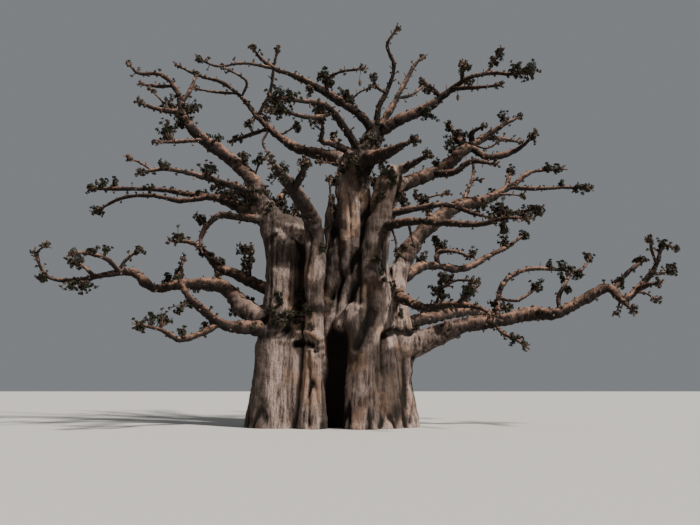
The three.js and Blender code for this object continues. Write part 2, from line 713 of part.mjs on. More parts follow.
const limbNames = Object.keys(traced).filter((name) => name in limbs);
for (const name of limbNames) {
  const limb = traced[name];
  const start = leaves(name);
  const limit = limb.ends.length ? limb.ends[0] : limb.last - 0.5;
  if (start >= limit) {
    throw new Error(`${name} stays too near ${limb.blocker} as far as way-point ${start.toFixed(2)}`);
  }
  limb.pieces = [{ node: null, to: start }];
  limb.ends.forEach((end, i) => {
    limb.pieces.push({ node: limb.ends.length > 1 ? `${name}_bough_${i + 1}` : `${name}_bough`, to: end });
  });
  limb.pieces.push({ node: `${name}_twigs`, to: limb.last });
}
for (const name of limbNames) {
  const limb = traced[name];
  const bearer = traced[limb.on];
  if (!bearer.column && limb.rootAt < bearer.pieces[0].to + 0.3) {
    throw new Error(`${name} has its root too near the foot of ${limb.on}`);
  }
  limb.pieces[0].node = nodeAt(limb.on, limb.rootAt);
  let from = 0;
  for (const { node, to } of limb.pieces) {
    nodes[node] ??= [];
    const isBough = node.includes("_bough") && from > 0;
    const sides = node.endsWith("_twigs") ? STEM_SIDES : BOUGH_SIDES;
    nodes[node].push(portion(limb, from, to, sides, isBough ? BOUGH_STEP : STEM_STEP));
    fill(limb, node, from, to);
    from = to;
  }
}
const clashes = [];
for (const [name, limb] of Object.entries(traced)) {
  if (limb.fused) {
    const node = `${limb.on}_twigs`;
    if (nodeAt(limb.on, limb.rootAt) !== node) {
      clashes.push(`${name} on ${limb.on} has its root outside the twigs`);
    }
    const outside = limb.samples.filter((sample) => sample.u > 0.3);
    const others = places.filter((place) => place.node !== node);
    const touched = others.filter((place) => outside.some((sample) => !apart(sample, place)));
    if (touched.length) {
      clashes.push(`${name} on ${limb.on} touches ${[...new Set(touched.map((place) => place.node))]}`);
    }
    nodes[node].push(portion(limb, 0, limb.last, TWIG_SIDES, STEM_STEP));
    fill(limb, node, 0, limb.last);
  }
}
if (clashes.length) {
  throw new Error(clashes.join("\n"));
}

// A thin tapering twig with three sides through its points.
function twig(points, radius, tipRadius) {
  const girth = points.map((_, i) => THREE.MathUtils.lerp(radius, tipRadius, i / (points.length - 1)));
  const limb = trace(points, girth);
  return { limb, solid: loft(points.map((_, i) => ring(limb, i, TWIG_SIDES))) };
}

// A leaf of eight faces: a four-cornered blade, thickest in its middle.
function leaf(base, direction, across, length) {
  const facing = direction.clone().cross(across).normalize();
  const middle = base.clone().addScaledVector(direction, length * WIDEST_AT);
  const corners = [
    base,
    middle.clone().addScaledVector(across, LEAF_WIDTH / 2),
    base.clone().addScaledVector(direction, length),
    middle.clone().addScaledVector(across, -LEAF_WIDTH / 2),
    middle.clone().addScaledVector(facing, LEAF_THICKNESS / 2),
    middle.clone().addScaledVector(facing, -LEAF_THICKNESS / 2),
  ];
  const positions = corners.flatMap((point) => point.toArray().map((value) => value * MILLIMETRES));
  return solid(positions, [4, 0, 1, 4, 1, 2, 4, 2, 3, 4, 3, 0, 5, 1, 0, 5, 2, 1, 5, 3, 2, 5, 0, 3]);
}

function free(candidates, node) {
  return places.every((place) => place.node === node
    || candidates.every((candidate) => apart(candidate, place)));
}

function tuft(node, sample, count, random) {
  let turn = random() * 2 * Math.PI;
  for (let i = 0; i < count; i++) {
    turn += (2 * Math.PI) / count;
    const base = sample.centre.clone().addScaledVector(sample.direction, -LEAF_STAGGER * (i + 0.5));
    const out = sample.across.clone().applyAxisAngle(sample.direction, turn);
    const direction = sample.direction.clone().multiplyScalar(LEAF_LEAN).add(out).normalize();
    const across = direction.clone().cross(sample.direction).normalize();
    const length = LEAF_LENGTH * (0.8 + 0.4 * random());
    const blade = [0.4, 0.8].map((share) => ({
      centre: base.clone().addScaledVector(direction, length * share),
      radius: LEAF_WIDTH / 2,
    }));
    if (free(blade, node)) {
      nodes[node].push(leaf(base, direction, across, length));
      blade.forEach((place) => places.push({ ...place, node }));
    }
  }
}

// Shoots in a spiral along a limb of twigs, each turning upward to a tuft at its tip.
function grow(limb, node, from, random) {
  let turn = random() * 2 * Math.PI;
  let travelled = SHOOT_SPACING * random();
  let before = null;
  for (const sample of limb.samples) {
    if (sample.u < from) {
      continue;
    }
    travelled += before ? before.distanceTo(sample.centre) : 0;
    before = sample.centre;
    if (travelled < SHOOT_SPACING || sample.u > limb.last - 0.3) {
      continue;
    }
    travelled = 0;
    turn += GOLDEN_ANGLE;
    const length = SHOOT_LENGTH * (0.7 + 0.6 * random());
    const out = sample.across.clone().applyAxisAngle(sample.direction, turn);
    out.addScaledVector(sample.direction, SHOOT_LEAN).addScaledVector(UP, SHOOT_RISE).normalize();
    const middle = sample.centre.clone().addScaledVector(out, sample.radius + length * 0.5);
    const tip = middle.clone().addScaledVector(out, length * TIP_BEND[0]);
    tip.addScaledVector(UP, length * TIP_BEND[1]);
    const shoot = twig([sample.centre.clone(), middle, tip], SHOOT_RADIUS, SHOOT_TIP_RADIUS);
    const outside = shoot.limb.samples.filter(({ u }) => u > 0.2);
    if (free(outside, node) && tip.z > LOWEST_TIP) {
      nodes[node].push(shoot.solid);
      fill(shoot.limb, node, 0, 2);
      tuft(node, shoot.limb.samples.at(-1), LEAVES_ON_SHOOT, random);
    }
  }
  tuft(node, limb.samples.at(-1), LEAVES_AT_TIP, random);
}

for (const [order, name] of limbNames.entries()) {
  const node = `${name}_twigs`;
  const random = seeded(order * 101 + (seeds[name] ?? 1) * 7919);
  grow(traced[name], node, traced[name].pieces.at(-2).to + 0.1, random);
  for (const fork of Object.values(traced)) {
    if (fork.fused && fork.on === name) {
      grow(fork, node, 0.4, random);
    }
  }
}

for (const fruit of fruits) {
  const node = `${fruit.on}_twigs`;
  const root = nearest(traced[fruit.on], fruit.hangs).centre.clone();
  const low = root.clone().addScaledVector(UP, -STALK_LENGTH);
  nodes[node].push(twig([root, low], STALK_RADIUS, STALK_RADIUS).solid);
  const rings = FRUIT_PROFILE.map(([drop, width]) => {
    const points = [];
    for (let i = 0; i < FRUIT_SIDES; i++) {
      const angle = (-2 * Math.PI * i) / FRUIT_SIDES;
      const out = new THREE.Vector3(Math.cos(angle), Math.sin(angle), 0);
      const spot = low.clone().addScaledVector(UP, STALK_SUNK - FRUIT_LENGTH * drop);
      points.push(spot.addScaledVector(out, FRUIT_RADIUS * width));
    }
    return points;
  });
  nodes[node].push(loft(rings));
}

// One mesh from overlapping solids. Only the outer skin is kept: a hollow sealed by the fusing is
// filled and a loose scrap dropped.
function meshOf(name, solids, material) {
  const skins = solids.reduce((whole, piece) => whole.add(piece)).simplify(SLIVER).decompose();
  const joined = skins.reduce((largest, skin) => (skin.volume() > largest.volume() ? skin : largest));
  const { vertProperties, triVerts, numProp } = joined.getMesh();
  const positions = new Float32Array((vertProperties.length / numProp) * 3);
  for (let i = 0; i < positions.length / 3; i++) {
    positions.set(vertProperties.subarray(i * numProp, i * numProp + 3), i * 3);
  }
  const geometry = new THREE.BufferGeometry();
  geometry.setAttribute("position", new THREE.BufferAttribute(positions, 3));
  geometry.setIndex([...triVerts]);
  geometry.computeVertexNormals();
  const mesh = new THREE.Mesh(geometry, material);
  mesh.name = name;
  return mesh;
}

const tree = new THREE.Group();
for (const [name, solids] of Object.entries(nodes)) {
  const isBough = name.includes("_bough");
  const material = name === "trunk" ? barkMaterial : isBough ? limbMaterial : twigMaterial;
  tree.add(meshOf(name, solids, material));
}

export default tree;
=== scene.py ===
# %% [markdown]
# # A wide old baobab
#
# The real thing is one rooted tree, some twenty-five metres across: a cluster of columns grown together
# into a trunk, and crooked limbs that end in knobbly, nearly bare twigs. The frame that is loaded here
# holds plain solids of the same tree. This script grows the bark, the twigs and the leaves on the same
# lines, so that everything stays where the solids are.

# %% Load the frame
import math

import bmesh
import bpy
import numpy as np
from mathutils import Matrix, Vector, kdtree, noise
from mathutils.bvhtree import BVHTree


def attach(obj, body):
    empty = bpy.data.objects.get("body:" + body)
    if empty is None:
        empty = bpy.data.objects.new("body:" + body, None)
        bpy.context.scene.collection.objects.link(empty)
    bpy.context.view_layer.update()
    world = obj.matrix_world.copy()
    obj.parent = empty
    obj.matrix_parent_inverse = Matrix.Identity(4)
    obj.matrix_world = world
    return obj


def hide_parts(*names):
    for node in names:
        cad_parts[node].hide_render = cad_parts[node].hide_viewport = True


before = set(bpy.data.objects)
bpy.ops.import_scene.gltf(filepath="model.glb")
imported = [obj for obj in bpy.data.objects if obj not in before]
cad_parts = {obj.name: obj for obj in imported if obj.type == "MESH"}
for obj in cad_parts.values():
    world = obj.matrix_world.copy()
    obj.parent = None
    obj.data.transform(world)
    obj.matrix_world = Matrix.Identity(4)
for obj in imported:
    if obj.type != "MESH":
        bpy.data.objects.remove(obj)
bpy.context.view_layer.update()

print("nodes in the frame:", len(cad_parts))

# %% [markdown]
# ## The camera
#
# Someone stands on level ground and looks slightly up at the tree. The horizon lies at the height of the
# eye, whatever the distance, so the row where it crosses the picture gives the tilt of the camera, and a
# tilt keeps the upright lines true to the photograph where a shifted lens would not. The picture is
# taken to be 700 pixels wide and 525 high.

# %% Camera
EYE_DISTANCE = 28
EYE_HEIGHT = 1.6
PICTURE_WIDTH = 700
MIDDLE_ROW = 262.5
HORIZON_ROW = 385
FOCAL_PIXELS = 700
SENSOR_WIDTH = 36
SEEN_TO = 500

eye_data = bpy.data.cameras.new("eye")
eye_data.sensor_width = SENSOR_WIDTH
eye_data.lens = SENSOR_WIDTH * FOCAL_PIXELS / PICTURE_WIDTH
eye_data.clip_end = SEEN_TO
eye = bpy.data.objects.new("eye", eye_data)
eye.location = (0, -EYE_DISTANCE, EYE_HEIGHT)
tilt = math.atan((HORIZON_ROW - MIDDLE_ROW) / FOCAL_PIXELS)
eye.rotation_euler = (math.pi / 2 + tilt, 0, 0)
bpy.context.scene.collection.objects.link(eye)
bpy.context.scene.camera = eye
print("camera tilted up by", round(math.degrees(tilt), 2), "degrees")

# %% [markdown]
# ## Floor and light
#
# The tree stands on a plain pale floor. The light is that of a studio: one broad lamp on the right, in
# front of the tree and fairly high, and an even surround that fills the shadows a little. A sun lamp with
# a wide angle is used for the first, because it lights a thing of this size evenly from one side.

# %% Floor and light
FLOOR_REACH = 150
FLOOR_COLOUR = (0.56, 0.54, 0.51)
FLOOR_ROUGHNESS = 0.9
KEY_FROM = Vector((0.68, -0.54, 0.72))
KEY_STRENGTH = 6.8
KEY_WIDTH = math.radians(5)
KEY_COLOUR = (1.0, 0.96, 0.90)
SURROUND = (0.80, 0.85, 0.90, 1)
SURROUND_STRENGTH = 0.26
PLAIN_GLOSS = 0.25


def plain_material(name, colour, roughness):
    """A material with one plain colour all over."""
    material = bpy.data.materials.new(name)
    material.use_nodes = True
    shader = material.node_tree.nodes["Principled BSDF"]
    shader.inputs["Base Color"].default_value = (*colour, 1)
    shader.inputs["Roughness"].default_value = roughness
    shader.inputs["Specular IOR Level"].default_value = PLAIN_GLOSS
    return material


def kept_mesh(name, shape):
    """The mesh that a bmesh is kept as. The bmesh is used up."""
    mesh = bpy.data.meshes.new(name)
    shape.to_mesh(mesh)
    shape.free()
    return mesh


def new_object(name, mesh):
    """An object at the origin that shows a mesh."""
    made = bpy.data.objects.new(name, mesh)
    bpy.context.scene.collection.objects.link(made)
    return made


floor_shape = bmesh.new()
bmesh.ops.create_grid(floor_shape, x_segments=1, y_segments=1, size=FLOOR_REACH)
floor_mesh = kept_mesh("floor", floor_shape)
floor_mesh.materials.append(plain_material("pale_floor", FLOOR_COLOUR, FLOOR_ROUGHNESS))
new_object("floor", floor_mesh)

key_data = bpy.data.lights.new("key", "SUN")
key_data.energy = KEY_STRENGTH
key_data.angle = KEY_WIDTH
key_data.color = KEY_COLOUR
key = bpy.data.objects.new("key", key_data)
key.rotation_euler = KEY_FROM.to_track_quat("Z", "Y").to_euler()
bpy.context.scene.collection.objects.link(key)

world = bpy.data.worlds.new("surround")
world.use_nodes = True
world.node_tree.nodes["Background"].inputs["Color"].default_value = SURROUND
world.node_tree.nodes["Background"].inputs["Strength"].default_value = SURROUND_STRENGTH
bpy.context.scene.world = world
print("floor, one lamp and an even surround")

# %% [markdown]
# ## The lines of the tree
#
# A real limb thickens year by year round a line that was once a thin shoot. The same idea makes it here:
# each column and each limb is a curve through a few way-points, with a radius at each. The way-points
# are read in the upright plane through the trunk, as the eye sees them, and every list of depths says
# how far behind (+) or in front of (-) that plane the limb runs. The columns come first: nine stand on
# the ground, and a raised one crosses between two of them. All are fused into the trunk later.

# %% Lines of the columns
COLUMNS = {
    "left_column": {
        "way": [[-2.85, 0], [-2.75, 2.8], [-2.65, 5], [-2.7, 7], [-3.2, 8.2], [-3.75, 9.1]],
        "girth": [1.12, 1.0, 0.72, 0.68, 0.56, 0.42],
        "depth": [-0.3],
    },
    "narrow_column": {
        "way": [[-1.45, 0], [-1.42, 2.8], [-1.42, 5], [-1.38, 6.5], [-1.4, 7.7]],
        "girth": [0.5, 0.34, 0.38, 0.42, 0.38],
        "depth": [-1.35, -1.25, -1.1],
    },
    "main_column": {
        "way": [
            [-0.35, 0], [-0.35, 2.6], [-0.1, 5], [0.1, 7], [0.2, 9], [0.25, 10.5], [0.75, 11.4],
            [1.15, 12.1],
        ],
        "girth": [1.5, 1.35, 1.15, 0.92, 0.66, 0.66, 0.5, 0.36],
        "depth": [0.45, 0.2, 0, 0],
    },
    "front_column": {
        "way": [[0.5, 0], [0.5, 2.6], [0.5, 4.4], [0.65, 6.2]],
        "girth": [0.78, 0.62, 0.55, 0.35],
        "depth": [-1.25, -1.15, -0.7],
    },
    "right_column": {
        "way": [[1.25, 0], [1.1, 2.6], [0.95, 5], [0.95, 7], [1.3, 8.5], [1.6, 9.8], [1.8, 10.4]],
        "girth": [1.0, 0.85, 0.68, 0.6, 0.56, 0.55, 0.38],
        "depth": [-0.6, -0.6, -0.5, -0.6],
    },
    "outer_column": {
        "way": [[1.75, 0], [1.75, 2], [1.8, 3.5], [1.72, 5], [1.85, 6.1]],
        "girth": [0.82, 0.76, 0.7, 0.56, 0.42],
        "depth": [-0.2, 0.1, 0.3],
    },
    "crossing_limb": {
        "way": [[-1.2, 6.7], [-1.75, 7.55], [-2.4, 8.0], [-3.1, 8.2]],
        "girth": [0.36, 0.4, 0.42, 0.3],
        "depth": [-0.6],
        "raised": True,
    },
    "back_left_column": {
        "way": [[-2.0, 0], [-2.0, 3], [-1.8, 4.8], [-2.0, 6]],
        "girth": [1.15, 0.95, 0.7, 0.45],
        "depth": [1.5, 1.5, 1.8],
    },
    "back_column": {
        "way": [[-0.2, 0], [-0.3, 3], [-0.2, 5.5], [-0.1, 7.6]],
        "girth": [1.2, 1.0, 0.8, 0.5],
        "depth": [1.7, 1.6, 1.9],
    },
    "back_right_column": {
        "way": [[1.3, 0], [1.3, 3], [1.35, 4.5], [1.7, 5.6]],
        "girth": [1.05, 0.85, 0.68, 0.42],
        "depth": [1.4, 1.4, 1.9],
    },
}
print(len(COLUMNS), "columns")

# %% [markdown]
# ## The lines of the limbs
#
# Limbs could be branched off by a rule with random turns, but this tree is known by its own crooked
# limbs, so each is read by itself. It names what bears it, a column or another limb. The five whose
# names begin with back are guessed, and laid where nearer limbs hide them from the front.

# %% Lines of the limbs
LIMBS = {
    "low_left": {
        "on": "left_column",
        "way": [
            [-2.8, 3.9], [-3.9, 4.35], [-5.2, 5.5], [-6.8, 5.6], [-7.9, 5.45], [-8.8, 6.1], [-9.9, 6.0],
            [-10.9, 5.8], [-12.2, 5.9], [-12.85, 6.9],
        ],
        "girth": [0.5, 0.44, 0.28, 0.21, 0.19, 0.17, 0.12, 0.1, 0.08, 0.05],
        "depth": [-0.7, -1.2, -1.5],
    },
    "low_left_crook": {
        "on": "left_column",
        "way": [
            [-2.8, 3.7], [-4.0, 3.85], [-5.0, 3.95], [-5.8, 4.5], [-6.5, 5.1], [-6.9, 5.9], [-6.8, 6.6],
        ],
        "girth": [0.36, 0.3, 0.22, 0.17, 0.13, 0.09, 0.05],
        "depth": [-1.6, -3.2, -3.6, -3.8],
    },
    "left_riser": {
        "on": "left_column",
        "way": [
            [-2.7, 5.1], [-3.6, 5.5], [-4.5, 5.95], [-5.3, 6.3], [-5.9, 6.9], [-6.4, 7.3], [-7.35, 7.4],
        ],
        "girth": [0.32, 0.25, 0.21, 0.19, 0.14, 0.1, 0.05],
        "depth": [0.3, 0.5, 0.8],
    },
    "left_tuft": {
        "on": "left_riser",
        "way": [[-4.1, 5.75], [-4.05, 6.4], [-4.0, 7.1]],
        "girth": [0.12, 0.09, 0.06],
        "depth": [-0.7],
    },
    "left_arch": {
        "on": "left_column",
        "way": [[-3.2, 8.2], [-4.6, 8.4], [-5.5, 8.4], [-6.05, 7.7], [-6.1, 7.15]],
        "girth": [0.2, 0.16, 0.13, 0.1, 0.05],
        "depth": [-2.0, -2.4],
    },
    "left_rear": {
        "on": "left_column",
        "way": [
            [-3.2, 8.3], [-4.3, 8.65], [-5.3, 9.15], [-6.3, 9.3], [-7.8, 9.55], [-9.8, 9.6], [-10.8, 9.6],
        ],
        "girth": [0.3, 0.25, 0.18, 0.13, 0.1, 0.08, 0.045],
        "depth": [1.2, 2.4, 3.4],
    },
    "left_fore": {
        "on": "left_column",
        "way": [[-3.5, 8.6], [-4.4, 9.55], [-5.3, 9.85], [-6.8, 10.3], [-7.7, 10.45], [-8.75, 10.3]],
        "girth": [0.22, 0.17, 0.14, 0.1, 0.09, 0.05],
        "depth": [-1.8, -4.2, -5.4, -6.0],
    },
    "left_high": {
        "on": "left_column",
        "way": [
            [-3.6, 8.9], [-4.0, 9.9], [-5.0, 10.9], [-6.0, 11.6], [-6.7, 12.3], [-7.1, 13.1],
            [-7.3, 13.8], [-8.0, 14.6], [-9.05, 14.7], [-9.4, 15.05],
        ],
        "girth": [0.42, 0.32, 0.26, 0.24, 0.2, 0.16, 0.12, 0.09, 0.07, 0.045],
        "depth": [-0.6, -1.0, -1.2],
    },
    "left_high_side": {
        "on": "left_high",
        "way": [[-6.1, 11.7], [-7.0, 11.65], [-8.15, 11.6]],
        "girth": [0.1, 0.08, 0.05],
        "depth": [-2.4],
    },
    "rear_left": {
        "on": "main_column",
        "way": [
            [0.2, 10.6], [-0.7, 10.95], [-2.2, 11.35], [-3.2, 12.05], [-3.9, 12.75], [-4.6, 13.6],
            [-5.4, 14.25], [-6.5, 14.6], [-7.45, 15.1],
        ],
        "girth": [0.36, 0.3, 0.2, 0.15, 0.12, 0.09, 0.08, 0.065, 0.045],
        "depth": [1.6, 2.8, 3.6],
    },
    "top_left": {
        "on": "main_column",
        "way": [
            [1.1, 12.0], [0.5, 12.75], [-0.6, 13.55], [-2.0, 14.4], [-3.3, 14.95], [-3.8, 15.35],
            [-4.15, 15.8],
        ],
        "girth": [0.24, 0.21, 0.19, 0.13, 0.1, 0.08, 0.045],
        "depth": [-0.6, -1.4, -2.0],
    },
    "top_left_side": {
        "on": "top_left",
        "way": [[-0.9, 13.75], [-1.0, 14.4], [-0.4, 14.75], [0.6, 14.9]],
        "girth": [0.09, 0.07, 0.06, 0.045],
        "depth": [-2.4, -3.0],
    },
    "fore_left": {
        "on": "main_column",
        "way": [[0.35, 11.2], [-0.4, 12.5], [-1.05, 13.25], [-2.1, 13.45], [-3.35, 13.6]],
        "girth": [0.2, 0.17, 0.13, 0.09, 0.05],
        "depth": [-2.2, -4.4, -6.0],
    },
    "hook": {
        "on": "main_column",
        "way": [[0.2, 11.0], [-0.6, 11.5], [-1.2, 11.7], [-1.15, 12.2], [-1.2, 12.65]],
        "girth": [0.17, 0.14, 0.11, 0.09, 0.06],
        "depth": [-1.2, -1.9, -2.1],
    },
    "fore": {
        "on": "narrow_column",
        "way": [[-1.4, 7.5], [-1.65, 8.5], [-2.3, 9.5], [-2.9, 10.3], [-3.3, 10.8]],
        "girth": [0.38, 0.35, 0.27, 0.15, 0.06],
        "depth": [-2.2, -4.6, -7.4],
    },
    "leader": {
        "on": "main_column",
        "way": [[1.1, 12.0], [1.2, 13.1], [1.6, 13.95], [1.88, 15.0], [1.6, 16.0], [2.05, 16.75]],
        "girth": [0.18, 0.13, 0.1, 0.09, 0.065, 0.045],
        "depth": [-0.6, -1.2],
    },
    "rear_leader": {
        "on": "main_column",
        "way": [[1.1, 12.0], [1.75, 13.1], [2.3, 14.2], [2.8, 15.1], [3.15, 15.45]],
        "girth": [0.18, 0.14, 0.1, 0.08, 0.045],
        "depth": [1.0, 2.2],
    },
    "top_right": {
        "on": "main_column",
        "way": [
            [1.1, 12.0], [2.0, 12.55], [3.2, 13.1], [4.3, 13.95], [5.1, 14.5], [6.1, 14.7], [7.0, 14.65],
            [7.75, 14.9],
        ],
        "girth": [0.3, 0.24, 0.2, 0.14, 0.1, 0.08, 0.065, 0.045],
        "depth": [-0.6, -1.4, -2.2],
    },
    "right_stub": {
        "on": "right_column",
        "way": [[1.8, 10.2], [2.65, 10.7], [3.25, 11.05]],
        "girth": [0.22, 0.15, 0.06],
        "depth": [-1.6],
    },
    "fore_right": {
        "on": "main_column",
        "way": [[0.6, 10.7], [1.3, 11.05], [2.05, 11.4], [2.8, 11.75]],
        "girth": [0.34, 0.26, 0.14, 0.05],
        "depth": [-2.4, -5.8],
    },
    "right_high": {
        "on": "right_column",
        "way": [
            [1.7, 9.6], [2.7, 10.0], [3.9, 10.5], [4.7, 11.2], [5.6, 11.8], [6.5, 12.4], [7.2, 12.75],
        ],
        "girth": [0.34, 0.3, 0.27, 0.26, 0.15, 0.09, 0.045],
        "depth": [0.4, 1.0, 1.6],
    },
    "right_high_side": {
        "on": "right_high",
        "way": [[3.4, 10.3], [4.3, 10.3], [5.0, 10.75], [6.1, 10.65]],
        "girth": [0.16, 0.14, 0.11, 0.05],
        "depth": [-1.0, -1.6],
    },
    "right_rear": {
        "on": "outer_column",
        "way": [
            [1.8, 5.7], [2.4, 7.0], [3.2, 7.95], [4.4, 8.85], [5.5, 9.1], [6.75, 9.75], [7.5, 10.3],
            [8.85, 10.45],
        ],
        "girth": [0.42, 0.35, 0.31, 0.28, 0.21, 0.12, 0.08, 0.045],
        "depth": [1.0, 2.4, 3.2],
    },
    "right_crook": {
        "on": "right_rear",
        "way": [[4.6, 8.9], [4.85, 9.5], [5.1, 10.1], [5.15, 10.85]],
        "girth": [0.1, 0.08, 0.07, 0.045],
        "depth": [3.4, 3.8],
    },
    "right_inner": {
        "on": "right_column",
        "way": [[1.4, 8.5], [2.4, 8.7], [3.95, 8.9], [5.1, 8.55], [5.8, 8.35]],
        "girth": [0.17, 0.14, 0.12, 0.09, 0.05],
        "depth": [-1.2, -1.9],
    },
    "right_fore": {
        "on": "right_column",
        "way": [[1.2, 7.9], [2.4, 8.2], [3.85, 8.15], [5.35, 8.1], [6.45, 8.35], [7.3, 8.35]],
        "girth": [0.22, 0.18, 0.15, 0.11, 0.08, 0.045],
        "depth": [-3.2, -5.4, -6.6],
    },
    "right_middle": {
        "on": "outer_column",
        "way": [[1.75, 5.6], [3.0, 6.35], [4.6, 6.25], [5.8, 6.85], [6.5, 7.2], [7.1, 7.65]],
        "girth": [0.24, 0.19, 0.14, 0.1, 0.08, 0.045],
        "depth": [2.6, 4.4, 5.4],
    },
    "right_low_fore": {
        "on": "outer_column",
        "way": [[1.72, 5.3], [2.25, 4.95], [3.1, 4.65], [4.15, 4.8], [5.2, 4.65], [5.8, 4.2]],
        "girth": [0.26, 0.21, 0.17, 0.14, 0.1, 0.05],
        "depth": [-2.4, -4.2, -5.4],
    },
    "right_low_shoot": {
        "on": "right_low_fore",
        "way": [[3.4, 4.7], [3.65, 5.4], [3.7, 5.95]],
        "girth": [0.09, 0.07, 0.045],
        "depth": [-3.4],
    },
    "low_right": {
        "on": "outer_column",
        "way": [
            [1.8, 2.9], [3.0, 3.4], [4.6, 3.95], [5.8, 4.1], [7.2, 4.4], [8.3, 4.45], [9.45, 5.0],
            [10.4, 5.45], [10.95, 5.0], [11.7, 5.5], [12.4, 6.35], [12.8, 7.2], [13.25, 7.1],
        ],
        "girth": [0.7, 0.48, 0.35, 0.3, 0.27, 0.23, 0.2, 0.19, 0.16, 0.14, 0.1, 0.07, 0.05],
        "depth": [-0.6, -1.2, -1.6, -2.0],
    },
    "low_right_arch": {
        "on": "low_right",
        "way": [[5.9, 4.1], [5.95, 4.9], [6.2, 5.65], [7.1, 6.2], [8.5, 6.2], [9.3, 6.15], [9.75, 6.7]],
        "girth": [0.15, 0.12, 0.11, 0.09, 0.07, 0.06, 0.045],
        "depth": [0.6, 1.6, 2.2],
    },
    "low_right_riser": {
        "on": "low_right",
        "way": [[8.35, 4.5], [8.4, 5.1], [8.65, 5.55], [8.9, 6.0]],
        "girth": [0.1, 0.09, 0.075, 0.05],
        "depth": [-1.2, -1.0],
    },
    "low_right_droop": {
        "on": "low_right",
        "way": [[5.7, 4.1], [6.15, 3.6], [6.6, 3.4], [6.95, 3.15]],
        "girth": [0.09, 0.07, 0.06, 0.045],
        "depth": [-2.6, -3.2],
    },
    "back_left": {
        "on": "back_left_column",
        "way": [[-1.95, 5.8], [-2.5, 7.2], [-2.85, 8.3], [-3.6, 9.2], [-4.2, 9.9]],
        "girth": [0.4, 0.33, 0.25, 0.14, 0.05],
        "depth": [3.4, 5.4, 7.2, 8.8],
    },
    "back_top": {
        "on": "back_column",
        "way": [[-0.1, 7.4], [0.15, 9.0], [0.2, 10.2], [0.7, 11.0], [0.8, 11.6]],
        "girth": [0.46, 0.36, 0.27, 0.15, 0.05],
        "depth": [3.4, 5.4, 7.2, 8.9],
    },
    "back_right": {
        "on": "back_right_column",
        "way": [[1.65, 5.4], [2.35, 6.9], [3.05, 7.85], [4.2, 8.65], [5.2, 9.1]],
        "girth": [0.4, 0.32, 0.25, 0.14, 0.05],
        "depth": [3.6, 5.4, 7.2, 8.9],
    },
    "back_low_right": {
        "on": "back_right_column",
        "way": [[1.35, 3.9], [3.6, 4.35], [4.6, 4.5], [5.6, 4.45], [6.4, 4.7]],
        "girth": [0.3, 0.24, 0.18, 0.12, 0.05],
        "depth": [3.2, 4.8, 6.4, 7.2],
    },
    "back_low_left": {
        "on": "back_left_column",
        "way": [[-1.9, 4.1], [-3.7, 4.5], [-4.8, 5.3], [-6.0, 5.5], [-7.0, 5.75]],
        "girth": [0.32, 0.26, 0.18, 0.12, 0.05],
        "depth": [3.4, 5.0, 6.8, 8.0],
    },
}
print(len(LIMBS), "limbs")

# %% [markdown]
# ## Forks and fruits
#
# Most limbs fork again on their way. A fork takes its girth from the limb at the place where it leaves,
# so it needs no more than what bears it, its way-points and the depth of its tip. Three fruits hang
# from the upper limbs, each from the spot of its limb that is nearest to a reading.

